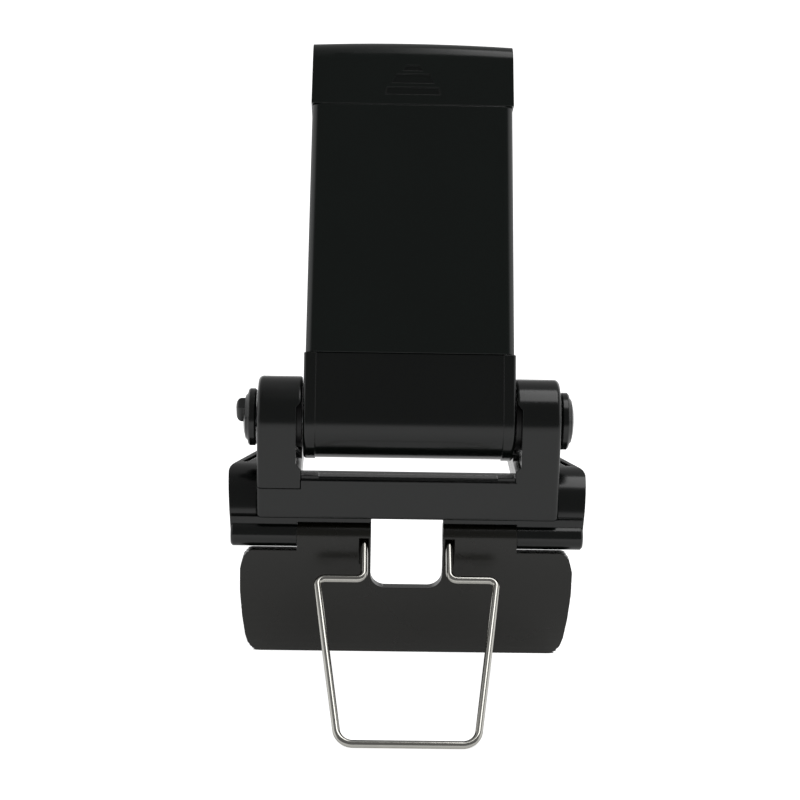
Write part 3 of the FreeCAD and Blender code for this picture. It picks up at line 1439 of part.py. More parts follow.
faults = []
for item in doc.Objects:
    if "Invalid" in item.State or "Error" in item.State:
        faults.append(f"{item.Label}: {item.State}")
for piece in pieces:
    if piece.Shape.isNull() or not piece.Shape.isValid():
        faults.append(f"{piece.Label}: no valid shape")
if faults:
    raise RuntimeError("; ".join(faults))

os.makedirs("parts", exist_ok=True)
for piece in pieces:
    piece.Shape.exportStep(f"parts/{piece.Label}.step")
    print(piece.Label, len(piece.Shape.Solids), "solids,", round(piece.Shape.Volume, 2), "mm3")
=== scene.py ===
# %% [markdown]
# # Controller phone clip
# A moulded saddle hooks over the top edge of a game controller. A fork on it carries a tilting phone
# holder with a sprung upper jaw, and a hinged rear plate with a bent wire stand grips the back.
# The solid model comes in as a fixed frame. This lesson adds the camera, the studio, the finishes, the
# wire loop, the bulged rear plate and the rubber parts, each in a step of its own.

# %% Load the frame
import json
import math

import bmesh
import bpy
from mathutils import Matrix, Vector


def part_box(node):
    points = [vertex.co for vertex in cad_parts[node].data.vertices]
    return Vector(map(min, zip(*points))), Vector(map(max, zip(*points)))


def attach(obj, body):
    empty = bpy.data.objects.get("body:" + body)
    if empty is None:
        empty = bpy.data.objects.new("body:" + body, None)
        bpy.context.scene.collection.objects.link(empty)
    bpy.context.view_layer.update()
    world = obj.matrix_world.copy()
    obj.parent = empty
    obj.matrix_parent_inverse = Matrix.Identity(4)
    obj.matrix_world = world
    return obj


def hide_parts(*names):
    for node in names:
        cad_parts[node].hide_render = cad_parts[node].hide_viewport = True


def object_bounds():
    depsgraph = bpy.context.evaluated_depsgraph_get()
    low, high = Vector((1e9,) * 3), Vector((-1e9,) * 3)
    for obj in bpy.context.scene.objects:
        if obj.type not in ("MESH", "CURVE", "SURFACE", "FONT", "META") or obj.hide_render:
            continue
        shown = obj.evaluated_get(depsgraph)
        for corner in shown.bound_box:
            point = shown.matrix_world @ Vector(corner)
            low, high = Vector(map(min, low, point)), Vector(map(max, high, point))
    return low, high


MM = 0.001

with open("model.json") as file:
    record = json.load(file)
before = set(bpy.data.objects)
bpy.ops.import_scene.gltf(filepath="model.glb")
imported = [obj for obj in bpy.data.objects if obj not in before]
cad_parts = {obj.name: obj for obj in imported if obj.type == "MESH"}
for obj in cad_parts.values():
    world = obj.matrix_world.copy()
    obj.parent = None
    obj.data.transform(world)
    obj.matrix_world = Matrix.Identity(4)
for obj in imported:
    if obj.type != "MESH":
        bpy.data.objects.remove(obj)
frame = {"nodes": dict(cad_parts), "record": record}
solid_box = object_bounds()


def size_in_mm(box):
    """A box's three sides, for the printed notes."""
    return [round((high - low) / MM, 1) for low, high in zip(*box)]


print("nodes:", len(frame["nodes"]), "size in mm:", size_in_mm(solid_box))

# %% [markdown]
# ## Camera
# The clip is seen from behind and a little above, from about 40 cm, with a moderately long lens.
# The picture is turned by about one degree, so the camera rolls by that much.

# %% Set the camera
VIEW_HEIGHT = math.radians(14.54)
VIEW_TURN = math.radians(1.32)
VIEW_ROLL = math.radians(1.18)
VIEW_DISTANCE = 417 * MM
AIM = Vector((-1.85 * MM, 0, 18.47 * MM))
LENS = 94.2
SENSOR_WIDTH = 36
CLIP_NEAR = 0.02
CLIP_FAR = 20
WORLD_UP = Vector((0, 0, 1))


def look_direction():
    level = math.cos(VIEW_HEIGHT)
    return Vector((math.sin(VIEW_TURN) * level, math.cos(VIEW_TURN) * level, -math.sin(VIEW_HEIGHT)))


def make_camera():
    data = bpy.data.cameras.new("camera")
    data.sensor_width = SENSOR_WIDTH
    data.lens = LENS
    data.clip_start = CLIP_NEAR
    data.clip_end = CLIP_FAR
    camera = bpy.data.objects.new("camera", data)
    bpy.context.scene.collection.objects.link(camera)
    ahead = look_direction()
    right = ahead.cross(WORLD_UP).normalized()
    up = right.cross(ahead)
    tilted_right = math.cos(VIEW_ROLL) * right + math.sin(VIEW_ROLL) * up
    tilted_up = tilted_right.cross(ahead)
    turn = Matrix((tilted_right, tilted_up, -ahead)).transposed()
    camera.matrix_world = Matrix.Translation(AIM - ahead * VIEW_DISTANCE) @ turn.to_4x4()
    bpy.context.scene.camera = camera
    return camera


camera = make_camera()
print("camera at", [round(c / MM) for c in camera.matrix_world.translation], "mm")

# %% [markdown]
# ## Node helpers
# The floor, the surround, the finishes and the grip ribs are all small node trees. These helpers take
# up what repeats in them: a node with its sockets filled, a sum, a smooth fade and the like.


# %% Write the node helpers
def node_material(name):
    material = bpy.data.materials.new(name)
    material.use_nodes = True
    material.node_tree.nodes.clear()
    return material, material.node_tree


def add_node(tree, kind, sockets=None, **settings):
    """A node with its settings. Each socket named or numbered gets a link or a plain value."""
    node = tree.nodes.new(kind)
    for key, value in settings.items():
        setattr(node, key, value)
    for key, value in (sockets or {}).items():
        if isinstance(value, bpy.types.NodeSocket):
            tree.links.new(value, node.inputs[key])
        else:
            node.inputs[key].default_value = value
    return node


def reckon(tree, operation, *values):
    """One sum on sockets or plain numbers."""
    return add_node(tree, "ShaderNodeMath", dict(enumerate(values)), operation=operation).outputs["Value"]


def fade(tree, source, span, low, high):
    """A smooth change from one level to another while the source crosses the span."""
    sockets = {"Value": source, "From Min": span[0], "From Max": span[1], "To Min": low, "To Max": high}
    return add_node(tree, "ShaderNodeMapRange", sockets, interpolation_type="SMOOTHSTEP").outputs["Result"]


def seen_or_mirrored(tree, seen, mirrored):
    """One level for what is seen straight, and another for what the clip mirrors."""
    path = add_node(tree, "ShaderNodeLightPath")
    sockets = {"Factor": path.outputs["Is Camera Ray"], "A": mirrored, "B": seen}
    return add_node(tree, "ShaderNodeMix", sockets, data_type="FLOAT").outputs["Result"]


def own_space(tree):
    """The place in the piece's own space, so that a pattern moves with its piece."""
    return add_node(tree, "ShaderNodeTexCoord").outputs["Object"]


def noise(tree, place, scale, detail):
    sockets = {"Vector": place, "Scale": scale, "Detail": detail}
    return add_node(tree, "ShaderNodeTexNoise", sockets).outputs["Fac"]


def between(tree, amount, low, high):
    sockets = {"Value": amount, "To Min": low, "To Max": high}
    return add_node(tree, "ShaderNodeMapRange", sockets).outputs["Result"]


def two_tone(tree, amount, tint, low, high):
    """The tint, made darker and lighter by two factors as the amount changes."""
    sockets = {"Factor": amount}
    for socket, factor in (("A", low), ("B", high)):
        sockets[socket] = (*[factor * c for c in tint], 1)
    return add_node(tree, "ShaderNodeMix", sockets, data_type="RGBA").outputs["Result"]


def bump(tree, height, strength, distance, under=None):
    """A fine relief, on the bare surface or on the normals given as the ones under it."""
    sockets = {"Height": height, "Strength": strength, "Distance": distance}
    if under is not None:
        sockets["Normal"] = under
    return add_node(tree, "ShaderNodeBump", sockets).outputs["Normal"]


def finish_surface(tree, sockets):
    shader = add_node(tree, "ShaderNodeBsdfPrincipled", sockets)
    add_node(tree, "ShaderNodeOutputMaterial", {"Surface": shader.outputs["BSDF"]})


print("node helpers ready")

# %% [markdown]
# ## Floor
# Glossy black plastic shows its shape by what it mirrors. A pale floor fills the lower half of every
# reflection, so upright faces come out grey. Its mirrored glow is lower under the clip, a painted shadow
# where the clip would shade it from the light, and fades out past the table's edge.

# %% Build the floor
FLOOR_TONE = 0.9
FLOOR_ROUGHNESS = 0.9
FLOOR_SEEN = 0.85
FLOOR_MIRRORED = 0.44
FLOOR_UNDER = 0.25
UNDER_REACH = (20 * MM, 120 * MM)
TABLE_EDGE = (300 * MM, 800 * MM)
FLOOR_REACH = 3.0


def make_floor_paint():
    material, tree = node_material("studio_floor")
    away = add_node(tree, "ShaderNodeVectorMath", {0: own_space(tree)}, operation="LENGTH").outputs["Value"]
    # Painted shadow: the floor's mirrored glow is lower under the clip.
    under = fade(tree, away, UNDER_REACH, FLOOR_UNDER, FLOOR_MIRRORED)
    beyond = fade(tree, away, TABLE_EDGE, 0.0, FLOOR_MIRRORED)
    glow = seen_or_mirrored(tree, FLOOR_SEEN, reckon(tree, "SUBTRACT", under, beyond))
    finish_surface(tree, {
        "Base Color": (FLOOR_TONE, FLOOR_TONE, FLOOR_TONE, 1),
        "Roughness": FLOOR_ROUGHNESS,
        "Emission Color": (1, 1, 1, 1),
        "Emission Strength": glow,
    })
    return material


def make_floor():
    lowest = solid_box[0][2]
    mesh = bpy.data.meshes.new("studio_floor")
    rim = [(-1, -1), (1, -1), (1, 1), (-1, 1)]
    corners = [(x * FLOOR_REACH, y * FLOOR_REACH, 0) for x, y in rim]
    mesh.from_pydata(corners, [], [(0, 1, 2, 3)])
    mesh.materials.append(make_floor_paint())
    floor = bpy.data.objects.new("studio_floor", mesh)
    floor.location.z = lowest
    bpy.context.scene.collection.objects.link(floor)
    return floor


floor = make_floor()
print("floor at", round(floor.location.z / MM, 2), "mm")

# %% [markdown]
# ## Surround and light
# A low white backdrop stands behind and beside the clip, and the room on the camera's side is dim. That
# is why faces that lean back come out black and side edges come out bright. One soft light above and to
# the right makes the streak that grows along the upper jaw. The picture's own background is plain white.

# %% Set the surround and the light
ROOM_DIM = 0.17
BACK_LOW = 1.0
BACK_HIGH = 0.36
BACK_RISE = (0.0, 0.25)
BACK_SPREAD = (-0.1, 0.5)
SIDE_REACH = 0.6
SIDE_RISE = 0.45
SOFTBOX_PLACE = Vector((0.31, 0.0, 1.0))
SOFTBOX_AIM = Vector((0.31, 0.0, 0.0))
SOFTBOX_SIZE = (0.5, 0.7)
SOFTBOX_POWER = 2.6


def make_surround():
    world = bpy.data.worlds.new("studio")
    world.use_nodes = True
    tree = world.node_tree
    tree.nodes.clear()
    way = add_node(tree, "ShaderNodeTexCoord").outputs["Generated"]
    split = add_node(tree, "ShaderNodeSeparateXYZ", {"Vector": way}).outputs
    aside = reckon(tree, "ABSOLUTE", split["X"])
    behind = reckon(tree, "MULTIPLY_ADD", aside, SIDE_REACH, split["Y"])
    height = reckon(tree, "MULTIPLY_ADD", aside, -SIDE_RISE, split["Z"])
    far_side = fade(tree, behind, BACK_SPREAD, 0.0, 1.0)
    backdrop = fade(tree, height, BACK_RISE, BACK_LOW, BACK_HIGH)
    room = {"Factor": far_side, "A": ROOM_DIM, "B": backdrop}
    level = add_node(tree, "ShaderNodeMix", room, data_type="FLOAT").outputs["Result"]
    shade = {"Color": (1, 1, 1, 1), "Strength": seen_or_mirrored(tree, 1.0, level)}
    surround = add_node(tree, "ShaderNodeBackground", shade)
    add_node(tree, "ShaderNodeOutputWorld", {"Surface": surround.outputs["Background"]})
    bpy.context.scene.world = world
    bpy.context.scene.view_settings.view_transform = "Standard"


def soft_light(name, place, aim, size, power):
    data = bpy.data.lights.new(name, "AREA")
    data.shape = "RECTANGLE"
    data.size, data.size_y = size
    data.energy = power
    light = bpy.data.objects.new(name, data)
    light.location = place
    light.rotation_euler = (aim - place).to_track_quat("-Z", "Y").to_euler()
    bpy.context.scene.collection.objects.link(light)
    return light


make_surround()
softbox = soft_light("softbox_above", SOFTBOX_PLACE, SOFTBOX_AIM, SOFTBOX_SIZE, SOFTBOX_POWER)
print("light:", softbox.name)

# %% [markdown]
# ## Black moulded plastic
# The mouldings are black ABS with a fine satin grain from an eroded mould. One fine noise gives the
# grain, and a slow one varies tone and gloss as handling does. A small shading bevel softens the edges
# that a mould always leaves slightly round.

# %% Make the plastic finishes
GRAIN_SCALE = 5200
GRAIN_DETAIL = 3
GRAIN_HEIGHT = 0.02 * MM
HANDLING_SCALE = 55
HANDLING_DETAIL = 4
PLASTIC_IOR = 1.5
DARKER = 0.82
LIGHTER = 1.2
SMOOTHER = 0.05
ROUGHER = 0.07
BEVEL_SAMPLES = 6
MOULDED_EDGE = 0.25 * MM
WASHER_EDGE = 0.1 * MM


def grained_plastic(name, tint, roughness, grain, edge):
    material, tree = node_material(name)
    place = own_space(tree)
    handling = noise(tree, place, HANDLING_SCALE, HANDLING_DETAIL)
    fine = noise(tree, place, GRAIN_SCALE, GRAIN_DETAIL)
    soft_edge = add_node(tree, "ShaderNodeBevel", {"Radius": edge}, samples=BEVEL_SAMPLES).outputs["Normal"]
    finish_surface(tree, {
        "IOR": PLASTIC_IOR,
        "Base Color": two_tone(tree, handling, tint, DARKER, LIGHTER),
        "Roughness": between(tree, handling, roughness - SMOOTHER, roughness + ROUGHER),
        "Normal": bump(tree, fine, grain, GRAIN_HEIGHT, soft_edge),
    })
    return material


body_black = grained_plastic(
    "body_black", (0.0034, 0.0046, 0.0040), roughness=0.17, grain=0.10, edge=MOULDED_EDGE,
)
cover_black = grained_plastic(
    "cover_black", (0.0024, 0.0052, 0.0038), roughness=0.19, grain=0.10, edge=MOULDED_EDGE,
)
plate_black = grained_plastic(
    "plate_black", (0.0060, 0.0058, 0.0034), roughness=0.26, grain=0.14, edge=MOULDED_EDGE,
)
nylon_black = grained_plastic(
    "nylon_black", (0.012, 0.012, 0.012), roughness=0.4, grain=0.12, edge=WASHER_EDGE,
)
print("plastic finishes:", body_black.name, cover_black.name, plate_black.name, nylon_black.name)

# %% [markdown]
# ## Rubber
# The pads are soft black rubber: duller than the plastic, with a powdery bloom that lifts the tone
# at grazing angles and a slightly coarser skin.

# %% Make the rubber finish
SKIN_SCALE = 2600
SKIN_DETAIL = 5
SKIN_HEIGHT = 0.03 * MM
SKIN_STRENGTH = 0.5
DUST_SCALE = 160
DUST_DETAIL = 6
DUSTY = 1.7
RUBBER_ROUGHNESS = 0.78
BLOOM = 0.12
BLOOM_ROUGHNESS = 0.45


def dull_rubber(name, tint):
    material, tree = node_material(name)
    place = own_space(tree)
    dust = noise(tree, place, DUST_SCALE, DUST_DETAIL)
    skin = noise(tree, place, SKIN_SCALE, SKIN_DETAIL)
    finish_surface(tree, {
        "Roughness": RUBBER_ROUGHNESS,
        "Sheen Weight": BLOOM,
        "Sheen Roughness": BLOOM_ROUGHNESS,
        "Base Color": two_tone(tree, dust, tint, 1.0, DUSTY),
        "Normal": bump(tree, skin, SKIN_STRENGTH, SKIN_HEIGHT),
    })
    return material


pad_rubber = dull_rubber("pad_rubber", (0.012, 0.012, 0.012))
print("rubber finish:", pad_rubber.name)

# %% [markdown]
# ## Steel
# The stand is bright drawn wire with a smooth skin. The screws, nut and bolt are zinc plated, with a
# slightly blotchy tone, and the springs are darker oiled wire.

# %% Make the metal finishes
BLOTCH_DETAIL = 4
BLOTCH_HEIGHT = 0.02 * MM
TARNISHED = 0.88
GLOSSIEST = 0.75
DULLEST = 1.35


def plated_steel(name, tint, roughness, blotch_scale, relief):
    material, tree = node_material(name)
    blotches = noise(tree, own_space(tree), blotch_scale, BLOTCH_DETAIL)
    finish_surface(tree, {
        "Metallic": 1.0,
        "Base Color": two_tone(tree, blotches, tint, TARNISHED, 1.0),
        "Roughness": between(tree, blotches, roughness * GLOSSIEST, roughness * DULLEST),
        "Normal": bump(tree, blotches, relief, BLOTCH_HEIGHT),
    })
    return material


drawn_wire = plated_steel("drawn_wire", (0.58, 0.57, 0.53), roughness=0.13, blotch_scale=300, relief=0.0)
zinc_plate = plated_steel("zinc_plate", (0.56, 0.57, 0.58), roughness=0.34, blotch_scale=700, relief=0.12)
oiled_wire = plated_steel("oiled_wire", (0.36, 0.36, 0.37), roughness=0.3, blotch_scale=1200, relief=0.12)
print("metal finishes:", drawn_wire.name, zinc_plate.name, oiled_wire.name)

# %% [markdown]
# ## Dress the solid pieces
# The mouldings and the fasteners already have their true shapes, so they only need their finishes.

# %% Give each solid node its finish
FINISH_OF = {
    body_black: ["saddle", "yoke", "left_ear", "lower_block", "thumb_knob", "end_cap"],
    cover_black: ["rear_sleeve", "front_cover", "jaw_cap", "slide_tongue"],
    nylon_black: ["friction_washer_left", "friction_washer_right"],
    zinc_plate: [
        "yoke_screws", "cover_screws", "block_screws", "jaw_screws",
        "pivot_bolt", "pivot_nut", "spring_washer",
    ],
    oiled_wire: ["return_spring_left", "return_spring_right", "flap_spring_left", "flap_spring_right"],
}


def dress_nodes():
    for material, nodes in FINISH_OF.items():
        for node in nodes:
            piece = frame["nodes"][node]
            for slot in piece.material_slots:
                slot.material = material
            if not piece.material_slots:
                piece.data.materials.append(material)


dress_nodes()
print("dressed nodes:", sum(len(nodes) for nodes in FINISH_OF.values()))

# %% [markdown]
# ## Mesh helpers
# The wire, the rear plate and the rubber parts are built as meshes of their own, each in the place of
# its solid. A piece keeps its place in its mesh and rides with a body.


# %% Write the mesh helpers
def merged_copy(node, reach):
    """A node's mesh for editing, with its loose triangles joined."""
    builder = bmesh.new()
    builder.from_mesh(frame["nodes"][node].data)
    bmesh.ops.remove_doubles(builder, verts=builder.verts, dist=reach)
    return builder


def skin_rings(builder, rings):
    """Side faces between neighbouring rings of points, and a cap at both ends."""
    count = len(rings[0])
    for low, high in zip(rings, rings[1:]):
        for k in range(count):
            on = (k + 1) % count
            builder.faces.new((low[k], low[on], high[on], high[k]))
    builder.faces.new(list(reversed(rings[0])))
    builder.faces.new(rings[-1])


def close_mesh(name, builder):
    mesh = bpy.data.meshes.new(name)
    builder.to_mesh(mesh)
    builder.free()
    return mesh


def plain_mesh(name, made):
    """The mesh that an object's modifiers make of it. The object itself goes."""
    view = bpy.context.evaluated_depsgraph_get()
    mesh = bpy.data.meshes.new_from_object(made.evaluated_get(view))
    bpy.data.objects.remove(made)
    mesh.name = name
    return mesh


def place_piece(name, mesh, material, body, slot, *nodes):
    mesh.materials.append(material)
    piece = bpy.data.objects.new(name, mesh)
    bpy.context.scene.collection.objects.link(piece)
    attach(piece, body)
    if nodes:
        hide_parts(*nodes)
    return piece


def joint_named(name):
    for joint in frame["record"]["behaviour"]["joints"]:
        if joint["name"] == name:
            return joint
    raise KeyError(name)


HINGE = Vector(joint_named("flap_hinge")["pos_m"])
UPWARD = Vector(joint_named("jaw_slide")["axis"])
AHEAD = Vector((0, UPWARD.z, -UPWARD.y))
print("hinge at", [round(c / MM, 2) for c in HINGE], "mm")

# %% [markdown]
# ## Wire stand
# One wire is bent into a loop whose two ends are the hinge pins. Its centre line is straight runs and
# round bends, so the sweep walks the line in small steps and sets a ring of points at each. That keeps
# the bends as smooth as the real wire, which mirrors the studio in long unbroken streaks.

# %% Draw the wire's centre line
STAND_ANGLE = math.radians(52)
PIN_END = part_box("wire_stand")[1][0]
NECK_HALF = 8.5 * MM
SHOULDER_HALF = 17.9 * MM
SHOULDER_REACH = 10.6 * MM
FOOT_REACH = 47.2 * MM
FOOT_HALF = 13.1 * MM
BEND_RADII = [1.2 * MM, 1.5 * MM, 1.5 * MM, 3.2 * MM]
BEND_STEPS = 14


def bent_line(points, radii, steps):
    """Points along straight runs joined by tangent arcs."""
    line = [points[0]]
    for before, corner, after, radius in zip(points, points[1:], points[2:], radii):
        back = (before - corner).normalized()
        on = (after - corner).normalized()
        half_turn = (math.pi - back.angle(on)) / 2
        reach = radius * math.tan(half_turn)
        start, end = corner + back * reach, corner + on * reach
        centre = corner + (back + on).normalized() * radius / math.cos(half_turn)
        first, last = (start - centre).normalized(), (end - centre).normalized()
        for step in range(steps + 1):
            line.append(centre + radius * first.slerp(last, step / steps))
    line.append(points[-1])
    return line


def stand_line():
    right_half = [
        Vector((PIN_END, 0, 0)),
        Vector((NECK_HALF, 0, 0)),
        Vector((NECK_HALF, 0, -SHOULDER_REACH)),
        Vector((SHOULDER_HALF, 0, -SHOULDER_REACH)),
        Vector((FOOT_HALF, 0, -FOOT_REACH)),
    ]
    left_half = [Vector((-p.x, p.y, p.z)) for p in reversed(right_half)]
    flat = bent_line(right_half + left_half, BEND_RADII + BEND_RADII[::-1], BEND_STEPS)
    swing = Matrix.Rotation(-STAND_ANGLE, 3, "X")
    return [HINGE + swing @ p for p in flat]


wire_line = stand_line()
print("points on the wire's line:", len(wire_line))

# %% Sweep the wire
WIRE_RADIUS = 0.75 * MM
WIRE_SIDES = 28
WIRE_TIP = 0.2 * MM


def tube_sections(line, radius, tip):
    """Place, way and radius of each ring: one a point, and two at each bevelled end."""
    opening = line[1] - line[0]
    closing = line[-1] - line[-2]
    sections = [(line[0], opening, radius - tip), (line[0] + opening.normalized() * tip, opening, radius)]
    for before, here, after in zip(line, line[1:], line[2:]):
        way = (after - here).normalized() + (here - before).normalized()
        sections.append((here, way, radius))
    sections.append((line[-1] - closing.normalized() * tip, closing, radius))
    sections.append((line[-1], closing, radius - tip))
    return sections


def tube_mesh(name, line, radius, sides, tip):
    """A round tube along a line. Each ring's turn follows from the last, so the tube doesn't twist."""
    builder = bmesh.new()
    rings = []
    over = Vector((0, 1, 0))
    for place, way, size in tube_sections(line, radius, tip):
        way = way.normalized()
        side = way.cross(over).normalized()
        over = side.cross(way).normalized()
        ring = []
        for k in range(sides):
            angle = 2 * math.pi * k / sides
            ring.append(builder.verts.new(place + size * (math.cos(angle) * side + math.sin(angle) * over)))
        rings.append(ring)
    skin_rings(builder, rings)
    bmesh.ops.recalc_face_normals(builder, faces=builder.faces)
    mesh = close_mesh(name, builder)
    for face in mesh.polygons:
        face.use_smooth = len(face.vertices) == 4
    return mesh


wire_mesh = tube_mesh("stand_wire", wire_line, WIRE_RADIUS, WIRE_SIDES, WIRE_TIP)
stand = place_piece("stand_wire", wire_mesh, drawn_wire, "stand", "bright_wire", "wire_stand")
print("stand wire faces:", len(stand.data.polygons))

# %% [markdown]
# ## Rear plate
# The plate's sides bulge a little and run into wide soft corners. A copy of the solid plate is sliced
# into thin levels, and each level is widened to the half width that the bulged outline has there. The
# ends of its knuckles move out by a hair as well. The moved faces need new shading, and weighted normals
# let the large faces lead it.

# %% Describe the bulged outline
PLATE_TOP = HINGE.z - 2.75 * MM
PLATE_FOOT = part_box("rear_plate")[0][2]
# Share of the way down from the plate's top, and the outline's half width there in mm.
OUTLINE = [
    (0.0, 31.7),
    (0.06, 32.7),
    (0.17, 33.4),
    (0.38, 33.45),
    (0.62, 33.1),
    (0.82, 32.6),
    (0.91, 32.1),
    (1.0, 31.0),
]


def half_width(level):
    """The bulged outline's half width at a level, between the listed places."""
    share = min(max((PLATE_TOP - level) / (PLATE_TOP - PLATE_FOOT), 0), 1)
    for (start, first), (end, last) in zip(OUTLINE, OUTLINE[1:]):
        if share <= end:
            return (first + (last - first) * (share - start) / (end - start)) * MM


print("plate from", round(PLATE_TOP / MM, 2), "down to", round(PLATE_FOOT / MM, 2), "mm")

# %% Bulge the plate's sides
STEADY_HALF = 24 * MM
SLICE = 0.5 * MM
FIRST_SLICE = 0.05 * MM
SLICE_REACH = 0.001 * MM
PLATE_JOIN = 0.002 * MM
TOP_ROOM = 0.3 * MM
KNUCKLE_FILL = 0.1 * MM
KNUCKLE_REACH = 0.02 * MM
SHARP_ANGLE = math.radians(28)


def slice_plate(builder):
    level = PLATE_FOOT + FIRST_SLICE
    while level < PLATE_TOP:
        parts = builder.verts[:] + builder.edges[:] + builder.faces[:]
        place = (0, 0, level)
        bmesh.ops.bisect_plane(builder, geom=parts, dist=SLICE_REACH, plane_co=place, plane_no=WORLD_UP)
        level += SLICE


def bulge_plate(builder):
    knuckle_end = max(abs(corner.co.x) for corner in builder.verts if corner.co.z > HINGE.z)
    reach = {}
    for corner in builder.verts:
        key = round(corner.co.z / SLICE)
        reach[key] = max(reach.get(key, 0), abs(corner.co.x))
    for corner in builder.verts:
        x, z = corner.co.x, corner.co.z
        if z < PLATE_TOP + TOP_ROOM and abs(x) > STEADY_HALF:
            now = reach[round(z / SLICE)]
            widen = (half_width(z) - STEADY_HALF) / (now - STEADY_HALF)
            corner.co.x = math.copysign(STEADY_HALF + (abs(x) - STEADY_HALF) * widen, x)
        elif z > PLATE_TOP and abs(x) > knuckle_end - KNUCKLE_REACH:
            corner.co.x = math.copysign(knuckle_end + KNUCKLE_FILL, x)


def shaded_like_moulding(name, mesh):
    """Smooth roundings beside flat faces: the larger face leads the shading."""
    for face in mesh.polygons:
        face.use_smooth = True
    mesh.set_sharp_from_angle(angle=SHARP_ANGLE)
    made = bpy.data.objects.new("shading", mesh)
    bpy.context.scene.collection.objects.link(made)
    lead = made.modifiers.new("lead", "WEIGHTED_NORMAL")
    lead.keep_sharp = True
    return plain_mesh(name, made)


def make_plate():
    builder = merged_copy("rear_plate", PLATE_JOIN)
    slice_plate(builder)
    bulge_plate(builder)
    mesh = shaded_like_moulding("back_plate", close_mesh("bulged_plate", builder))
    return place_piece("back_plate", mesh, plate_black, "flap", "black_plastic", "rear_plate")


plate = make_plate()
print("plate faces:", len(plate.data.polygons))

# %% [markdown]
# ## Rubber pads
# Each pad is a thin moulded sheet with rounded edges and a row of grip ribs. The sheet is a rounded
# slab, and Geometry Nodes lay the ribs along it, because they repeat at one pitch.

# %% Build a rounded slab
CORNER_STEPS = 6
EDGE_STEPS = 4
SMALLEST_BEND = 0.05 * MM


def rounded_slab(size, radius, edge):
    """A slab about the origin: rounded corners in plan, and a rounded upper edge."""
    builder = bmesh.new()
    half_x, half_y, high = size[0] / 2, size[1] / 2, size[2]
    levels = [(0, 0), (0, high - edge)]
    for step in range(1, EDGE_STEPS + 1):
        angle = math.pi / 2 * step / EDGE_STEPS
        levels.append((edge * (1 - math.cos(angle)), high - edge + edge * math.sin(angle)))
    rings = []
    for inset, level in levels:
        ring = []
        bend = max(radius - inset, SMALLEST_BEND)
        for corner, (sx, sy) in enumerate(((1, 1), (-1, 1), (-1, -1), (1, -1))):
            for step in range(CORNER_STEPS + 1):
                angle = math.pi / 2 * (corner + step / CORNER_STEPS)
                x = sx * (half_x - radius) + bend * math.cos(angle)
                y = sy * (half_y - radius) + bend * math.sin(angle)
                ring.append(builder.verts.new((x, y, level)))
        rings.append(ring)
    skin_rings(builder, rings)
    return close_mesh("slab", builder)


print("slab builder ready")

# %% Lay the ribs with Geometry Nodes
RIB_SIDES = 16
RIB_INPUTS = {
    "Geometry": "Geometry",
    "Count": "Int",
    "Pitch": "Float",
    "Length": "Float",
    "Width": "Float",
    "Height": "Float",
    "Level": "Float",
    "Material": "Material",
}


def rib_tree():
    """Half sunk rods across a slab, at one pitch about its middle."""
    tree = bpy.data.node_groups.new("grip_ribs", "GeometryNodeTree")
    for label, kind in RIB_INPUTS.items():
        tree.interface.new_socket(label, in_out="INPUT", socket_type="NodeSocket" + kind)
    tree.interface.new_socket("Geometry", in_out="OUTPUT", socket_type="NodeSocketGeometry")
    given = add_node(tree, "NodeGroupInput").outputs
    span = reckon(tree, "MULTIPLY", reckon(tree, "SUBTRACT", given["Count"], 1), given["Pitch"])
    first = add_node(tree, "ShaderNodeCombineXYZ", {
        "Y": reckon(tree, "MULTIPLY", span, -0.5),
        "Z": given["Level"],
    })
    step = add_node(tree, "ShaderNodeCombineXYZ", {"Y": given["Pitch"]})
    line = add_node(tree, "GeometryNodeMeshLine", {
        "Count": given["Count"],
        "Start Location": first.outputs["Vector"],
        "Offset": step.outputs["Vector"],
    }, mode="OFFSET")
    rod = add_node(tree, "GeometryNodeMeshCylinder", {"Vertices": RIB_SIDES, "Radius": 1.0, "Depth": 1.0})
    lay = add_node(tree, "GeometryNodeTransform", {
        "Geometry": rod.outputs["Mesh"],
        "Rotation": (0, math.pi / 2, 0),
    })
    size = add_node(tree, "ShaderNodeCombineXYZ", {
        "X": given["Length"],
        "Y": given["Width"],
        "Z": given["Height"],
    })
    spread = add_node(tree, "GeometryNodeInstanceOnPoints", {
        "Points": line.outputs["Mesh"],
        "Instance": lay.outputs["Geometry"],
        "Scale": size.outputs["Vector"],
    })
    merge = add_node(tree, "GeometryNodeJoinGeometry", {"Geometry": given["Geometry"]})
    tree.links.new(spread.outputs["Instances"], merge.inputs["Geometry"])
    real = add_node(tree, "GeometryNodeRealizeInstances", {"Geometry": merge.outputs["Geometry"]})
    paint = add_node(tree, "GeometryNodeSetMaterial", {
        "Geometry": real.outputs["Geometry"],
        "Material": given["Material"],
    })
    add_node(tree, "NodeGroupOutput", {"Geometry": paint.outputs["Geometry"]})
    return tree


RIBS = rib_tree()
print("rib nodes:", len(RIBS.nodes))

# %% Place the ribbed pads
PAD_EDGE = 0.3 * MM
FRONT_CORNER = 2.0 * MM
JAW_CORNER = 1.0 * MM
RIB_MARGIN = 3.0 * MM
RIB_SHARE = 0.36
RIB_HEIGHT = 0.22 * MM
RIB_SUNK = 0.05 * MM


def pad_space(node, outward, along):
    """A pad's size, the middle of its back and its turn, measured on its solid."""
    across = along.cross(outward)
    corners = [v.co for v in frame["nodes"][node].data.vertices]
    spans = [sorted(corner.dot(axis) for corner in corners) for axis in (across, along, outward)]
    size = [span[-1] - span[0] for span in spans]
    middle = [(span[-1] + span[0]) / 2 for span in spans[:2]] + [spans[2][0]]
    place = across * middle[0] + along * middle[1] + outward * middle[2]
    return size, place, Matrix((across, along, outward)).transposed()


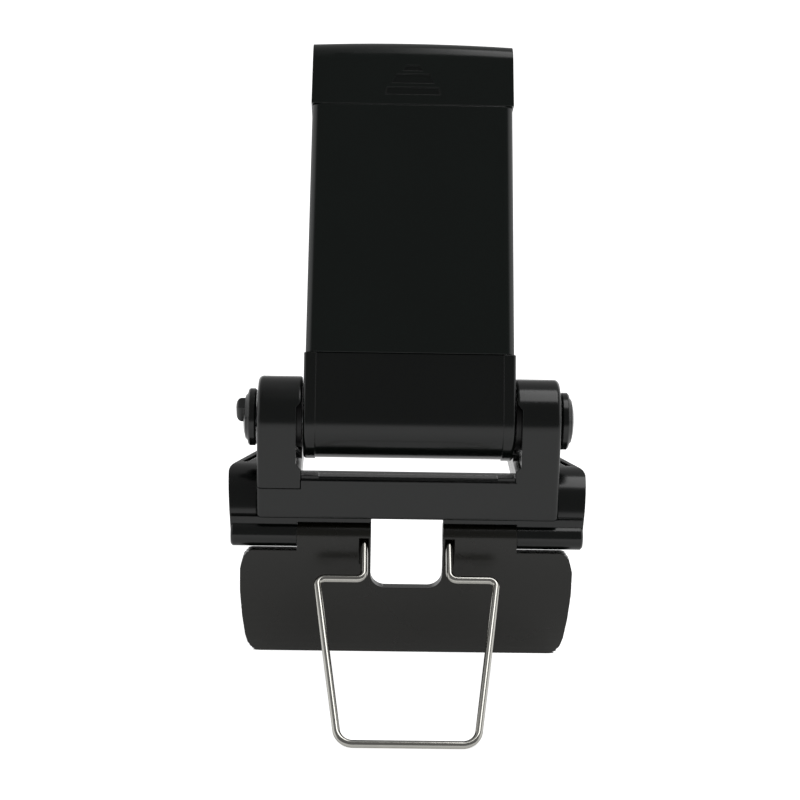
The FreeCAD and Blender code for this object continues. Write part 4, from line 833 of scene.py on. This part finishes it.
def ribbed_pad(name, node, body, outward, along, radius, rib_count):
    """A slab with ribs in a solid pad's own space, made plain and then carried to its place."""
    size, place, turn = pad_space(node, outward, along)
    pad = bpy.data.objects.new(name, rounded_slab(size, radius, PAD_EDGE))
    bpy.context.scene.collection.objects.link(pad)
    modifier = pad.modifiers.new("ribs", "NODES")
    modifier.node_group = RIBS
    pitch = (size[1] - RIB_MARGIN) / rib_count
    wanted = {
        "Count": rib_count,
        "Pitch": pitch,
        "Length": size[0] - RIB_MARGIN,
        "Width": RIB_SHARE * pitch,
        "Height": RIB_HEIGHT,
        "Level": size[2] - RIB_SUNK,
        "Material": pad_rubber,
    }
    for item in RIBS.interface.items_tree:
        if item.in_out == "INPUT" and item.name in wanted:
            modifier[item.identifier] = wanted[item.name]
    mesh = plain_mesh(name, pad)
    mesh.transform(Matrix.Translation(place) @ turn.to_4x4())
    for face in mesh.polygons:
        face.use_smooth = False
    mesh.materials.clear()
    piece = place_piece(name, mesh, pad_rubber, body, "black_rubber", node)
    return piece


pads = [
    ribbed_pad("front_grip", "front_pad", "holder", AHEAD, UPWARD, FRONT_CORNER, rib_count=14),
    ribbed_pad("lower_jaw_grip", "lower_jaw_pad", "holder", UPWARD, AHEAD, JAW_CORNER, rib_count=5),
    ribbed_pad("upper_jaw_grip", "upper_jaw_pad", "upper_jaw", -UPWARD, AHEAD, JAW_CORNER, rib_count=5),
]
print("pads:", [pad.name for pad in pads])

# %% [markdown]
# ## Plain rubber sheets
# The sheets under the arms and on the rear plate are die cut. They keep their outlines, with an edge
# that is slightly rounded where the rubber was pressed on.

# %% Copy the plain sheets and soften their edges
SHEET_JOIN = 0.01 * MM
SHEET_EDGE = 0.2 * MM
EDGE_SEGMENTS = 3
ROUND_PROFILE = 0.5
FLAT_ANGLE = 0.01
EDGE_ANGLE = 0.6


def soft_copy(name, node, body):
    builder = merged_copy(node, SHEET_JOIN)
    bmesh.ops.dissolve_limit(builder, angle_limit=FLAT_ANGLE, verts=builder.verts, edges=builder.edges)
    sharp = [e for e in builder.edges if e.is_manifold and e.calc_face_angle(0) > EDGE_ANGLE]
    bmesh.ops.bevel(
        builder, geom=sharp, affect="EDGES",
        offset=SHEET_EDGE, segments=EDGE_SEGMENTS, profile=ROUND_PROFILE,
    )
    bmesh.ops.recalc_face_normals(builder, faces=builder.faces)
    piece = place_piece(name, close_mesh(name, builder), pad_rubber, body, "black_rubber", node)
    return piece


sheets = [
    soft_copy("seat_sheet_left", "seat_pad_left", "base"),
    soft_copy("seat_sheet_right", "seat_pad_right", "base"),
    soft_copy("plate_sheet", "rear_plate_pad", "flap"),
]
print("sheets:", [sheet.name for sheet in sheets])
